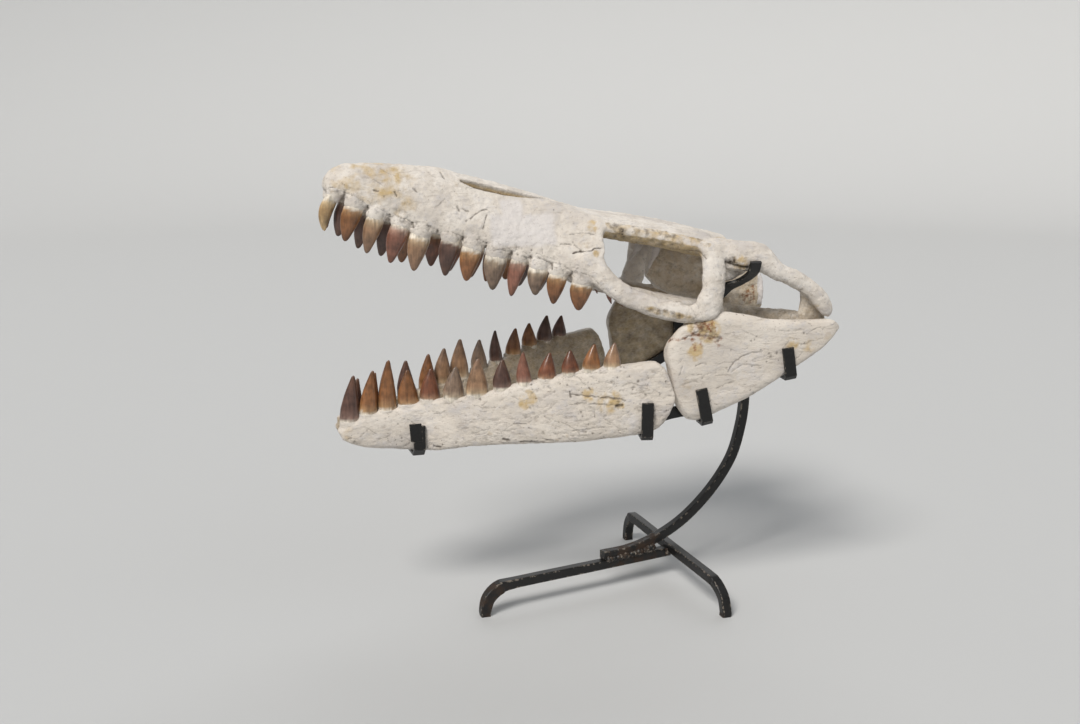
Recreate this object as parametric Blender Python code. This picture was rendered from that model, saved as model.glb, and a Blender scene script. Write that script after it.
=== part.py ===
# Mosasaur skull, jaws open, on a welded iron stand.
# X runs from the snout to the back of the head, Z is up, Y = 0 is the skull's mid-plane,
# and the animal's left side is -Y.  Sizes below are in millimetres until they reach a mesh.

import bpy
import bmesh
from math import cos, sin, tan, pi, radians
from mathutils import Vector

MM = 0.001
GAP = 0.3                      # clearance left between solids that touch
SIDES = (("left", -1), ("right", 1))
CENTRE_X = 5.0                 # moves the skull's own X so that its box is centred

# Skull lengths along X
SNOUT_TIP = -317.0
SNOUT_END = 14.0               # the plane in front of the eye sockets
ROOF_END = 214.0
ORBIT_CORNER = 146.0           # where the roof is widest, over the postorbital bars
JAW_TIP = -311.0
DENTARY_END = 92.0
REAR_JAW_FRONT = 83.0
REAR_JAW_END = 311.4

# Teeth
UPPER_TEETH_X = (-307, -282, -257, -228, -204, -169, -142, -113, -86, -63, -40, -12)
UPPER_TEETH_LENGTH = (37, 43.5, 46, 43, 46, 42, 40, 40, 43, 31, 35, 33)
UPPER_TEETH_LEAN = (12, 12, 13, 15, 11.5, 8.5, 10.5, 7.5, 13, 10, 10, 7.5)
LOWER_TEETH_X = (-294, -271, -246, -220, -195, -167, -139, -109, -83, -57, -29, -3, 22)
LOWER_TEETH_LENGTH = (52, 49, 60, 43, 40, 39, 42, 36, 34, 33, 29, 31, 28)
PTERYGOID_TEETH_X = (28, 43, 58, 73, 88)

# Iron stand
BAR = 12.5                     # square bar of the feet, the upright and the crossbeam
STRIP_WIDTH = 15.0             # flat strip of the clips, rails and straps
STRIP_THICK = 4.5
STRIP_CLEAR = 0.4              # between a strip and the bone that it holds
STAND_YAW = radians(11.8)      # the leg and the upright point a little to the left
CROSSBAR_X = 148.0
CROSSBEAM = (239.0, 326.0)     # x and z of the bar that joins the two rails
STRAP_FEET_X = (150.0, 205.0)  # where the left and the right skull strap leave their rails


def clear_scene():
    for thing in list(bpy.data.objects):
        bpy.data.objects.remove(thing, do_unlink=True)


def material(name, colour, roughness, metallic=0.0):
    mat = bpy.data.materials.new(name)
    mat.use_nodes = True
    shader = mat.node_tree.nodes["Principled BSDF"]
    shader.inputs["Base Color"].default_value = (*colour, 1.0)
    shader.inputs["Roughness"].default_value = roughness
    shader.inputs["Metallic"].default_value = metallic
    mat.diffuse_color = (*colour, 1.0)
    return mat


# ---------------------------------------------------------------- curves

def smooth(knots, x):
    """Value at x of the smooth curve through (x, value) knots, flat beyond its ends."""
    if x <= knots[0][0]:
        return knots[0][1]
    if x >= knots[-1][0]:
        return knots[-1][1]
    rise = [(b[1] - a[1]) / (b[0] - a[0]) for a, b in zip(knots, knots[1:])]
    slope = [rise[0]]
    for before, after in zip(rise, rise[1:]):
        same_way = before * after > 0
        slope.append(2 * before * after / (before + after) if same_way else 0.0)
    slope.append(rise[-1])
    i = max(k for k in range(len(knots) - 1) if knots[k][0] <= x)
    span = knots[i + 1][0] - knots[i][0]
    t = (x - knots[i][0]) / span
    return (knots[i][1] * (1 + 2 * t) * (1 - t) ** 2 + knots[i + 1][1] * t * t * (3 - 2 * t)
            + span * t * (1 - t) * (slope[i] * (1 - t) - slope[i + 1] * t))


def along(path, t):
    """Point at t (0 to 1) on the Catmull-Rom curve through a list of points."""
    pts = [Vector(p) for p in path]
    pts = [2 * pts[0] - pts[1], *pts, 2 * pts[-1] - pts[-2]]
    spans = len(pts) - 3
    i = min(int(t * spans), spans - 1)
    s = t * spans - i
    a, b, c, d = pts[i:i + 4]
    return 0.5 * ((2 * b) + (c - a) * s + (2 * a - 5 * b + 4 * c - d) * s * s
                  + (3 * b - a - 3 * c + d) * s ** 3)


# ---------------------------------------------------------------- solids

def new_object(name, bm, mat, smooth_faces=True):
    bmesh.ops.recalc_face_normals(bm, faces=bm.faces)
    for vert in bm.verts:
        vert.co = (vert.co + Vector((CENTRE_X, 0, 0))) * MM
    mesh = bpy.data.meshes.new(name)
    bm.to_mesh(mesh)
    bm.free()
    if smooth_faces:
        mesh.shade_smooth()
        mesh.set_sharp_from_angle(angle=radians(40))
    mesh.materials.append(mat)
    piece = bpy.data.objects.new(name, mesh)
    bpy.context.scene.collection.objects.link(piece)
    return piece


def add_loft(bm, rings):
    loops = [[bm.verts.new(point) for point in ring] for ring in rings]
    for near, far in zip(loops, loops[1:]):
        for i in range(len(near)):
            j = (i + 1) % len(near)
            bm.faces.new((near[i], near[j], far[j], far[i]))
    bm.faces.new(loops[0][::-1])
    bm.faces.new(loops[-1])


def loft(name, rings, mat, smooth_faces=True):
    bm = bmesh.new()
    add_loft(bm, rings)
    return new_object(name, bm, mat, smooth_faces)


def swept_rings(path, count, section, wide=(0, 1, 0)):
    """Rings along a path.  section(t) gives (across, up) pairs; across lies as near `wide`."""
    rings = []
    for k in range(count):
        t = k / (count - 1)
        here = along(path, t)
        ahead = along(path, min(t + 0.01, 1.0)) - along(path, max(t - 0.01, 0.0))
        ahead.normalize()
        across = (Vector(wide) - ahead * ahead.dot(Vector(wide))).normalized()
        up = ahead.cross(across)
        rings.append([here + across * a + up * b for a, b in section(t)])
    return rings


def oval(half_across, half_up, sides=10, blunt=0.72):
    """A tapering oval section: both halves are (t, size) knots; the ends close in."""
    def section(t):
        end = min(1.0, blunt + (1 - blunt) * min(t, 1 - t) / 0.08)
        a = smooth(half_across, t) * end
        b = smooth(half_up, t) * end
        return [(a * cos(2 * pi * i / sides), b * sin(2 * pi * i / sides)) for i in range(sides)]
    return section


def flat_bar(width, thick):
    def section(t):
        return [(-width / 2, -thick / 2), (width / 2, -thick / 2),
                (width / 2, thick / 2), (-width / 2, thick / 2)]
    return section


def hide(guide):
    guide.hide_render = True
    guide.display_type = "WIRE"


def boolean(piece, other, operation):
    cut = piece.modifiers.new(operation.lower() + "_" + other.name, "BOOLEAN")
    cut.object = other
    cut.operation = operation
    cut.solver = "EXACT"


def fit_against(piece, *neighbours):
    """Cuts a piece back to GAP from each neighbour that it runs into."""
    for neighbour in neighbours:
        grown = neighbour.copy()
        grown.data = neighbour.data.copy()
        grown.name = "room_for_" + neighbour.name + "_in_" + piece.name
        bpy.context.scene.collection.objects.link(grown)
        swell = grown.modifiers.new("swell", "DISPLACE")
        swell.strength = 1.4 * GAP * MM
        swell.mid_level = 0.0
        hide(grown)
        boolean(piece, grown, "DIFFERENCE")


# ---------------------------------------------------------------- teeth

CROWN = ((-0.3, 0.95), (0.12, 1.0), (0.62, 0.66), (1.0, 0.07))
SMALL_CROWN = ((-0.5, 1.0), (0.3, 0.8), (1.0, 0.1))


def add_tooth(bm, base, tip, half_long, half_wide, bow, shape=CROWN, sides=7):
    """A curved cone from a buried root to a blunt point; bow bends its front outwards."""
    axis = Vector(tip) - Vector(base)
    rings = []
    for t, size in shape:
        centre = Vector(base) + axis * t - Vector((bow, 0, 0)) * (4 * t * (1 - t) if t > 0 else 0)
        turn = [2 * pi * i / sides for i in range(sides)]
        rings.append([centre + Vector((half_long * size * cos(a), half_wide * size * sin(a), 0))
                      for a in turn])
    add_loft(bm, rings)


# ---------------------------------------------------------------- snout

def skull_top(x):
    return smooth(((-317, 563), (-306, 575), (-287, 581), (-227, 579), (-179, 574), (-145, 566),
                   (-98, 553), (-38, 535), (14, 519), (79, 509), (148, 495), (214, 479)), x)


def upper_row(x):
    """Distance of the upper tooth row from the mid-plane."""
    return smooth(((-312, 13), (-286, 23), (-215, 33), (-150, 43), (-87, 58), (-12, 82), (14, 89)), x)


def upper_gum(x):
    return smooth(((-317, 551), (-300, 545), (-266, 526), (-205, 502), (-130, 480), (-60, 457),
                   (14, 427)), x)


def snout_ring(x):
    top = skull_top(x)
    shoulder = smooth(((-317, 6), (-290, 14), (-200, 15), (-120, 18), (-60, 38), (14, 80)), x)
    drop = smooth(((-317, 4), (-290, 6), (-150, 6), (-60, 8), (14, 11)), x)
    row = upper_row(x)
    gum = upper_gum(x)
    swell = smooth(((-317, 1), (-280, 5), (-100, 7), (14, 3)), x)
    palate = smooth(((-317, 1), (-280, 5), (-150, 11), (14, 20)), x)
    outer = row + smooth(((-317, 3), (-290, 7), (14, 8)), x)
    edge = Vector((shoulder, top - drop))
    margin = Vector((outer, gum + 10))
    cheek_high = edge.lerp(margin, 0.3) + Vector((swell, 0))
    cheek_low = edge.lerp(margin, 0.68) + Vector((swell, 0))
    half = [(0.5 * shoulder, top - 0.2 * drop), tuple(edge), tuple(cheek_high), tuple(cheek_low),
            tuple(margin), (row + 4, gum), (row - min(7, 0.5 * row), gum),
            (row - min(13, 0.75 * row), gum + 0.7 * palate)]
    ring = [(0, top)] + half + [(0, gum + palate)] + [(-y, z) for y, z in reversed(half)]
    return [Vector((x, y, z)) for y, z in ring]


def shrink(ring, x, scale):
    """The same outline, smaller about its middle, moved to the plane at x."""
    middle = sum(ring, Vector()) / len(ring)
    return [Vector((x, middle.y + (p.y - middle.y) * scale, middle.z + (p.z - middle.z) * scale))
            for p in ring]


def make_snout(bone):
    stations = (-313, -304, -288, -266, -238, -205, -172, -140, -108, -76, -44, -14, SNOUT_END)
    rings = [shrink(snout_ring(-315), SNOUT_TIP, 0.55)]
    rings += [snout_ring(x) for x in stations]
    rings.append(shrink(rings[-1], SNOUT_END - 1, 0.80))     # the rear face is hollowed
    rings.append(shrink(rings[-1], SNOUT_END - 26, 0.72))
    snout = loft("snout", rings, bone)

    teeth = bmesh.new()
    for name, side in SIDES:
        for x, length, lean in zip(UPPER_TEETH_X, UPPER_TEETH_LENGTH, UPPER_TEETH_LEAN):
            y = upper_row(x) + 1
            z = upper_gum(x) + 2
            half_long = 8.0 if x < -300 else (11.8 if x < -100 else 10.7)
            half_wide = 7.0 if x < -300 else 8.5
            add_tooth(teeth, (x, side * y, z), (x - lean, side * (y + 1), z - 8 - length),
                      half_long, half_wide, 2.5)
    union_teeth = new_object("snout_teeth", teeth, bone)
    hide(union_teeth)
    boolean(snout, union_teeth, "UNION")

    for name, side in SIDES:
        slit = [(-147, side * 15, 565), (-120, side * 20, 558), (-80, side * 25, 549), (-40, side * 31, 537)]
        rings = swept_rings(slit, 7, oval(((0, 2), (0.3, 5), (1, 2)), ((0, 3), (0.3, 7), (1, 2)), 6))
        nostril = loft("nostril_" + name, rings, bone)
        hide(nostril)
        boolean(snout, nostril, "DIFFERENCE")
    return snout


# ---------------------------------------------------------------- roof and braincase

def roof_ring(x):
    top = skull_top(x)
    half_width = smooth(((14, 82), (52, 93), (90, 104), (130, 118), (146, 123), (158, 112),
                         (170, 70), (184, 36), (214, 27)), x)
    drop = smooth(((14, 11), (150, 14), (184, 8), (214, 8)), x)
    rim = smooth(((14, 20), (150, 22), (184, 24), (214, 24)), x)
    under = smooth(((14, 24), (100, 26), (184, 34), (214, 34)), x)
    half = [(0.5 * half_width, top - 0.22 * drop), (0.86 * half_width, top - 0.72 * drop),
            (half_width, top - drop - 3), (half_width - 1, top - drop - 0.55 * rim),
            (half_width - 9, top - drop - rim), (0.72 * half_width, top - under)]
    ring = [(0, top)] + half + [(0, top - under)] + [(-y, z) for y, z in reversed(half)]
    return [Vector((x, y, z)) for y, z in ring]


def make_roof(bone):
    stations = (SNOUT_END + GAP, 50, 90, 125, ORBIT_CORNER, 158, 170, 184, 200, ROOF_END - 4)
    rings = [roof_ring(x) for x in stations]
    rings.append(shrink(rings[-1], ROOF_END, 0.8))
    return loft("skull_roof", rings, bone)


def braincase_ring(x):
    top = skull_top(x) - 16
    low = smooth(((92, 430), (115, 406), (180, 394), (240, 385), (258, 386)), x)
    half = smooth(((92, 16), (112, 27), (180, 38), (235, 44), (258, 38)), x)
    top = min(top, smooth(((200, 500), (235, 464), (258, 434)), x))
    mid = (top + low) / 2
    half_ring = [(0.62 * half, top - 2), (half, mid + 0.25 * (top - low)), (1.04 * half, mid - 6),
                 (0.8 * half, low + 7), (0.45 * half, low)]
    ring = [(0, top)] + half_ring + [(0, low)] + [(-y, z) for y, z in reversed(half_ring)]
    lean = smooth(((96, 26), (150, 0)), x)                   # the front wall slopes back upwards
    return [Vector((x + lean * (z - low) / (top - low), y, z)) for y, z in ring]


def make_braincase(bone, roof):
    rings = [braincase_ring(x) for x in (100, 116, 140, 170, 205, 235, 252)]
    rings.append(shrink(braincase_ring(257), 259, 0.8))
    braincase = loft("braincase", rings, bone)
    fit_against(braincase, roof)
    return braincase


# ---------------------------------------------------------------- bars of the cheek and temple

def make_side_bars(bone, roof, braincase):
    for name, side in SIDES:
        jugal_path = [(SNOUT_END - 1, side * 94, 446), (34, side * 102, 428), (60, side * 109, 411),
                      (100, side * 120, 398), (130, side * 127, 398), (158, side * 131, 406)]
        jugal_section = oval(((0, 9), (0.3, 8.5), (1, 10)), ((0, 26), (0.14, 17), (0.35, 13), (1, 13.5)), 10, 0.95)
        jugal = loft("jugal_" + name, swept_rings(jugal_path, 9, jugal_section), bone)
        flatten_start(jugal, SNOUT_END + GAP)

        post_path = [(150, side * 117, 474), (147, side * 125, 450), (147, side * 128, 425),
                     (146, side * 129, 402)]
        post_section = oval(((0, 12), (0.5, 9), (1, 9)), ((0, 20), (0.35, 14.5), (1, 15)), 10, 0.9)
        post = loft("postorbital_" + name, swept_rings(post_path, 6, post_section), bone)
        fit_against(post, roof, jugal)

        arch_path = [(140, side * 108, 471), (172, side * 124, 470), (204, side * 130, 461),
                     (228, side * 134, 447), (256, side * 138, 434), (280, side * 141, 415),
                     (291, side * 143, 387)]
        arch_section = oval(((0, 9), (0.3, 12), (1, 10)),
                            ((0, 6), (0.13, 16), (0.3, 20), (0.5, 12), (0.8, 11.5), (1, 12)), 10, 0.85)
        arch = loft("temporal_arch_" + name, swept_rings(arch_path, 12, arch_section), bone)
        fit_against(arch, roof, post)

        quadrate_path = [(262, side * 124, 415), (270, side * 124, 402), (277, side * 127, 385)]
        quadrate_section = oval(((0, 8), (1, 11)), ((0, 9), (1, 18)), 8, 0.8)
        quadrate = loft("quadrate_" + name, swept_rings(quadrate_path, 4, quadrate_section), bone)
        fit_against(quadrate, arch)

        wing_path = [(-16, side * 44, 437), (40, side * 54, 420), (110, side * 52, 402),
                     (185, side * 52, 389), (232, side * 72, 384), (278, side * 118, 389)]
        wing_section = oval(((0, 20), (0.3, 24), (0.6, 13), (1, 8)), ((0, 6), (0.6, 9), (1, 11)), 8, 0.7)
        wing = loft("pterygoid_" + name, swept_rings(wing_path, 10, wing_section), bone)
        teeth = bmesh.new()
        for x in PTERYGOID_TEETH_X:
            level = smooth(((20, 420), (60, 409), (100, 399)), x)
            add_tooth(teeth, (x, side * 66, level), (x + 4, side * 67, level - 15), 4, 3.5, 1,
                      SMALL_CROWN, 6)
        rooted = new_object("pterygoid_teeth_" + name, teeth, bone)
        hide(rooted)
        boolean(wing, rooted, "UNION")
        fit_against(wing, bpy.data.objects["snout"], braincase, quadrate)


def flatten_start(piece, x):
    """Trims a bar square on the plane at x, where it meets the snout."""
    for vert in piece.data.vertices:
        vert.co.x = max(vert.co.x, (x + CENTRE_X) * MM)


# ---------------------------------------------------------------- lower jaw

def lower_row(x):
    """Distance of the lower tooth row from the mid-plane."""
    return smooth(((-311, 11), (-262, 13), (-217, 18), (-163, 40), (-82, 67), (-2, 99), (23, 107),
                   (92, 124)), x)


def lower_gum(x):
    return smooth(((-311, 252), (-306, 262), (-296, 268), (-270, 275), (-240, 277), (-198, 290),
                   (-142, 295), (-95, 308), (-22, 327), (50, 336), (70, 337), (82, 328), (92, 304)), x)


def dentary_low(x):
    return smooth(((-311, 250), (-307, 239), (-269, 225), (-200, 219), (-144, 225), (-40, 231),
                   (47, 242), (72, 248), (83, 259), (92, 280)), x)


def dentary_half(x):
    """Half of the dentary's thickness."""
    return smooth(((-311, 5), (-295, 10), (-100, 12), (92, 13)), x)


def dentary_ring(x, side):
    row = lower_row(x)
    top = lower_gum(x)
    low = dentary_low(x)
    out = dentary_half(x)
    inn = min(out, row - GAP / 2)
    tall = top - low
    ring = [(row + 0.1 * out, top), (row + 0.75 * out, top - 4), (row + out, low + 0.66 * tall),
            (row + out, low + 0.3 * tall), (row + 0.72 * out, low + 0.07 * tall), (row, low),
            (row - 0.72 * inn, low + 0.07 * tall), (row - inn, low + 0.3 * tall),
            (row - inn, low + 0.66 * tall), (row - 0.7 * inn, top - 4)]
    return [Vector((x, side * y, z)) for y, z in ring]


def make_dentaries(bone):
    stations = (JAW_TIP, -306, -294, -268, -240, -214, -182, -148, -110, -66, -20, 25, 60, 78, 87,
                DENTARY_END)
    for name, side in SIDES:
        dentary = loft("dentary_" + name, [dentary_ring(x, side) for x in stations], bone)
        teeth = bmesh.new()
        for x, length in zip(LOWER_TEETH_X, LOWER_TEETH_LENGTH):
            y = max(lower_row(x), 10.5)
            z = lower_gum(x) - 3
            lean = 8 if x < -240 else 1
            half_long = 10.8 if x < -150 else 10.0
            add_tooth(teeth, (x, side * y, z), (x + lean, side * y, z + 3 + length), half_long,
                      min(9.0, y - 1), 1.5)
        rooted = new_object("dentary_teeth_" + name, teeth, bone)
        hide(rooted)
        boolean(dentary, rooted, "UNION")


def rear_jaw_low(x):
    return smooth(((83, 336), (91, 318), (94, 296), (104, 272), (116, 259), (129, 257), (146, 263),
                   (192, 283), (255, 321.5), (288, 343.5), (305, 361), (311.4, 369)), x)


def rear_jaw_row(x):
    """Distance of the middle of the rear jaw's plate from the mid-plane."""
    return smooth(((83, 116), (110, 120), (311.4, 146)), x)


def rear_jaw_half(x):
    return smooth(((83, 6), (100, 10.5), (250, 10), (300, 8), (311.4, 4)), x)


def rear_jaw_ring(x, side):
    top = smooth(((83, 350), (89, 360), (108, 381), (130, 391), (149, 397), (185, 393), (225, 384.5),
                  (299, 382.5), (307, 380), (311.4, 375)), x)
    low = rear_jaw_low(x)
    row = rear_jaw_row(x)
    half = rear_jaw_half(x)
    tall = top - low
    ring = [(row, top), (row + 0.8 * half, top - 0.05 * tall - 1), (row + half, top - 0.25 * tall),
            (row + half, low + 0.25 * tall), (row + 0.8 * half, low + 0.05 * tall + 1), (row, low),
            (row - 0.8 * half, low + 0.05 * tall + 1), (row - half, low + 0.25 * tall),
            (row - half, top - 0.25 * tall), (row - 0.8 * half, top - 0.05 * tall - 1)]
    return [Vector((x, side * y, z)) for y, z in ring]


def make_rear_jaws(bone):
    stations = (REAR_JAW_FRONT, 87, 94, 104, 117, 132, 150, 185, 225, 265, 294, 305, REAR_JAW_END)
    for name, side in SIDES:
        slab = loft("rear_jaw_" + name, [rear_jaw_ring(x, side) for x in stations], bone)
        on_top = ("jugal_", "postorbital_", "temporal_arch_", "quadrate_", "pterygoid_")
        fit_against(slab, *(bpy.data.objects[part + name] for part in on_top))


# ---------------------------------------------------------------- stand

def bent_bar(name, path, count, iron, wide=(0, 1, 0), width=BAR, thick=BAR):
    return loft(name, swept_rings(path, count, flat_bar(width, thick), wide), iron, False)


def folded_strip(name, points, wide, iron):
    """A flat strip folded at each point, with mitred corners; wide is the strip's width way."""
    points = [Vector(p) for p in points]
    wide = Vector(wide).normalized()
    rings = []
    for k, point in enumerate(points):
        into = (point - points[k - 1]).normalized() if k else None
        out_of = (points[k + 1] - point).normalized() if k + 1 < len(points) else None
        flats = [way.cross(wide).normalized() for way in (into, out_of) if way]
        mitre = sum(flats, Vector()).normalized()
        half_thick = mitre * (STRIP_THICK / 2 / mitre.dot(flats[0]))
        half_wide = wide * (STRIP_WIDTH / 2)
        rings.append([point - half_wide - half_thick, point + half_wide - half_thick,
                      point + half_wide + half_thick, point - half_wide + half_thick])
    return loft(name, rings, iron, False)


def stand_plane(x, z):
    """Point of the upright plane that holds the leg, the upright and the crossbar's middle."""
    return (x, (x - CROSSBAR_X) * tan(STAND_YAW), z)


def make_feet(iron):
    leg_z = 37.0
    crossbar_path = [(162, -154, 0), (162, -154, 8), (160, -150, 25), (156, -137, 39), (152, -118, 44),
                     (CROSSBAR_X, 0, 44), (145, 118, 44), (146, 137, 39), (147, 150, 25), (147, 154, 8),
                     (147, 154, 0)]
    crossbar = bent_bar("stand_crossbar", crossbar_path, 19, iron, wide=(1, 0, 0))
    foot = stand_plane(-135, 0)
    leg_path = [foot, (foot[0], foot[1], 8), stand_plane(-130, 23), stand_plane(-116, 34),
                stand_plane(-94, leg_z), stand_plane(20, leg_z), stand_plane(CROSSBAR_X, leg_z)]
    leg = bent_bar("stand_leg", leg_path, 13, iron)
    for bar in (crossbar, leg):
        level_feet(bar)
    fit_against(leg, crossbar)
    lap_z = leg_z + BAR + GAP
    upright_path = [stand_plane(*place) for place in (
        (40, lap_z), (82, lap_z + 0.5), (126, 60), (172, 81), (216, 116), (249, 158), (264, 202),
        (269, 240), (266, 276), (255, 303), (242, 321))]
    upright = bent_bar("stand_upright", upright_path, 18, iron)
    fit_against(upright, leg)
    return upright


def level_feet(bar):
    """Cuts the ends that stand on the floor exactly level with it."""
    for vert in bar.data.vertices:
        if vert.co.z < 2 * MM:
            vert.co.z = 0.0


def make_rails(iron, upright):
    """A rail each side inside the lower jaw, and the crossbeam between them on the upright."""
    rails = []
    for name, side in SIDES:
        rail = bent_bar("stand_rail_" + name, [rail_point(x, side) for x in (
            -214, -196, -170, -130, -70, -10, 50, 86, 105, 125, 150, 185, 215, 246)], 18, iron,
            wide=(0, 0, 1), width=STRIP_WIDTH, thick=STRIP_THICK)
        fit_against(rail, bpy.data.objects["dentary_" + name], bpy.data.objects["rear_jaw_" + name])
        rails.append(rail)
    x, z = CROSSBEAM
    reach = rail_point(x, 1)[1]
    beam = bent_bar("stand_crossbeam", [(x, -reach, z), (x, reach, z)], 2, iron, wide=(1, 0, 0))
    fit_against(beam, *rails)
    fit_against(upright, beam)


def rail_point(x, side):
    y = min(lower_row(x) - dentary_half(x), smooth(((86, 111), (105, 108)), x)) if x < 105 else \
        rear_jaw_row(x) - rear_jaw_half(x)
    z = rail_level(x) + STRIP_WIDTH / 2
    return (x, side * (y - STRIP_CLEAR - STRIP_THICK / 2), z)


def rail_level(x):
    """Height of the rail's lower edge, which follows the lower edge of the jaw."""
    return smooth(((-214, 219), (-144, 225), (-40, 231), (47, 243), (86, 255), (125, 261), (146, 265),
                   (192, 286), (246, 319)), x)


def clip(name, x, side, row, half, low, rise, tilt, iron):
    """An L of flat strip: up the bone's outer face, and inwards below the bone and the rail.

    tilt is the share of the bone edge's slope that the clip follows."""
    before, after = (Vector((k, side * row(k), low(k))) for k in (x - 4, x + 4))
    edge = after - before
    drop = (1 - tilt) * edge.z / edge.x * STRIP_WIDTH / 2
    edge.z *= tilt
    edge.normalize()
    outwards = Vector((0, 0, 1)).cross(edge).normalized()
    if outwards.y * side < 0:
        outwards.negate()
    upwards = edge.cross(outwards)
    if upwards.z < 0:
        upwards.negate()
    middle = (before + after) / 2
    reach = half(x) + STRIP_CLEAR + STRIP_THICK / 2
    under = -STRIP_CLEAR - STRIP_THICK / 2 - drop
    inner = half(x) + STRIP_CLEAR + STRIP_THICK - 1.5
    points = [middle + outwards * reach + upwards * rise,
              middle + outwards * reach + upwards * (under + 4),
              middle + outwards * (reach - 4) + upwards * under,
              middle - outwards * inner + upwards * under]
    return folded_strip("stand_" + name, points, edge, iron)


def make_clips(iron):
    cradle_x = -212
    low = dentary_low(cradle_x) - STRIP_CLEAR - STRIP_THICK / 2
    widest = cradle_x + STRIP_WIDTH / 2
    wall = lower_row(widest) + dentary_half(widest) + STRIP_CLEAR + STRIP_THICK / 2
    outline = [(-wall, low + 38), (-wall, low + 8), (8 - wall, low), (wall - 8, low), (wall, low + 8),
               (wall, low + 38)]
    cradle = folded_strip("stand_cradle", [(cradle_x, y, z) for y, z in outline], (1, 0, 0), iron)
    fit_against(cradle, *(bpy.data.objects["dentary_" + name] for name, side in SIDES))
    for name, side in SIDES:
        clip("dentary_clip_" + name, 61, side, lower_row, dentary_half, dentary_low, 42, 0.0, iron)
        clip("rear_jaw_clip_" + name, 138, side, rear_jaw_row, rear_jaw_half, rear_jaw_low, 42, 0.5,
             iron)
        clip("heel_clip_" + name, 246, side, rear_jaw_row, rear_jaw_half, rear_jaw_low, 34, 0.25, iron)


def make_skull_straps(iron):
    """Straps that rise from the rails and hook on the outer faces of the temporal arches."""
    hook_x = 199
    for (name, side), foot_x in zip(SIDES, STRAP_FEET_X):
        y, z = rail_point(foot_x, side)[1:]
        y -= side * 1.6
        z += STRIP_WIDTH / 2 + 3
        lean = hook_x - foot_x
        path = [(foot_x, y, z), (foot_x, y, 330), (foot_x, y, 390),
                (foot_x + 0.12 * lean, side * 106, 411), (foot_x + 0.45 * lean, side * 107, 424),
                (foot_x + 0.75 * lean, side * 118, 432), (foot_x + 0.9 * lean, side * 132, 438),
                (hook_x, side * 145, 449), (hook_x, side * 147, 460)]
        strap = bent_bar("stand_skull_strap_" + name, path, 16, iron, wide=(1, 0, 0),
                         width=STRIP_WIDTH, thick=STRIP_THICK)
        fit_against(strap, *(bpy.data.objects[part + name] for part in (
            "temporal_arch_", "rear_jaw_", "stand_rail_")))


# ---------------------------------------------------------------- build

def main():
    clear_scene()
    bone = material("bone", (0.70, 0.62, 0.50), 0.75)
    iron = material("painted_iron", (0.015, 0.014, 0.012), 0.45, 0.0)
    make_snout(bone)
    roof = make_roof(bone)
    braincase = make_braincase(bone, roof)
    make_side_bars(bone, roof, braincase)
    make_dentaries(bone)
    make_rear_jaws(bone)
    upright = make_feet(iron)
    make_rails(iron, upright)
    make_clips(iron)
    make_skull_straps(iron)


main()
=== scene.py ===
# Fossil mosasaur skull, jaws open, on its welded iron stand.
# The skull's X runs from the snout (-) to the back of the head (+), Z is up, and the
# side nearest the camera is -Y. Shapes are worked in millimetres and placed in metres.

from math import cos, sin, tan, pi, radians, sqrt
from random import Random

import bmesh
import bpy
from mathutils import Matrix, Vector, noise
from mathutils.bvhtree import BVHTree
from mathutils.kdtree import KDTree


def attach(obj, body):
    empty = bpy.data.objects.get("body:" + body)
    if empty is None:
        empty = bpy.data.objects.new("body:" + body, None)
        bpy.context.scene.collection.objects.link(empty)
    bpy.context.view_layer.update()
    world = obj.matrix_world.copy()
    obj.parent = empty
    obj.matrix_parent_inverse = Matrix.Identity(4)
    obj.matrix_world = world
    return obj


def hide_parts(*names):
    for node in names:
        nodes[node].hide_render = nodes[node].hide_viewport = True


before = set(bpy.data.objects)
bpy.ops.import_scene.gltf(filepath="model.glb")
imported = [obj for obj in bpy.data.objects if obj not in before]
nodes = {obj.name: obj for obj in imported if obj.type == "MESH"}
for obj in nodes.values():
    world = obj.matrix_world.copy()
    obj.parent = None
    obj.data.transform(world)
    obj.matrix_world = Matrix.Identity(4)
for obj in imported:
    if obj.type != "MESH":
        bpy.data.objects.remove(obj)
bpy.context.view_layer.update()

millimetre = 0.001
middleX = 5.0          # the skull's own X starts here in the frame, in millimetres
sides = (("left", -1), ("right", 1))
skullVoxel, jawVoxel = ((1.4, 1.3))        # mesh of the fused skins


# curves and sections

def curveValue(knots, x):
    # smooth curve through (x, value) knots, level beyond its ends
    if x <= knots[0][0]:
        return knots[0][1]
    if x >= knots[-1][0]:
        return knots[-1][1]
    rise = [(b[1] - a[1]) / (b[0] - a[0]) for a, b in zip(knots, knots[1:])]
    slope = [rise[0]]
    for before, after in zip(rise, rise[1:]):
        slope.append(2 * before * after / (before + after) if before * after > 0 else 0.0)
    slope.append(rise[-1])
    i = max(k for k in range(len(knots) - 1) if knots[k][0] <= x)
    span = knots[i + 1][0] - knots[i][0]
    t = (x - knots[i][0]) / span
    return (knots[i][1] * (1 + 2 * t) * (1 - t) ** 2 + knots[i + 1][1] * t * t * (3 - 2 * t)
            + span * t * (1 - t) * (slope[i] * (1 - t) - slope[i + 1] * t))


def pathPoint(path, t):
    # point at t (0 to 1) on the smooth curve through the path's points
    pts = [Vector(p) for p in path]
    pts = [2 * pts[0] - pts[1], *pts, 2 * pts[-1] - pts[-2]]
    spans = len(pts) - 3
    i = min(int(t * spans), spans - 1)
    s = t * spans - i
    a, b, c, d = pts[i:i + 4]
    return 0.5 * ((2 * b) + (c - a) * s + (2 * a - 5 * b + 4 * c - d) * s * s
                  + (3 * b - a - 3 * c + d) * s ** 3)


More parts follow.
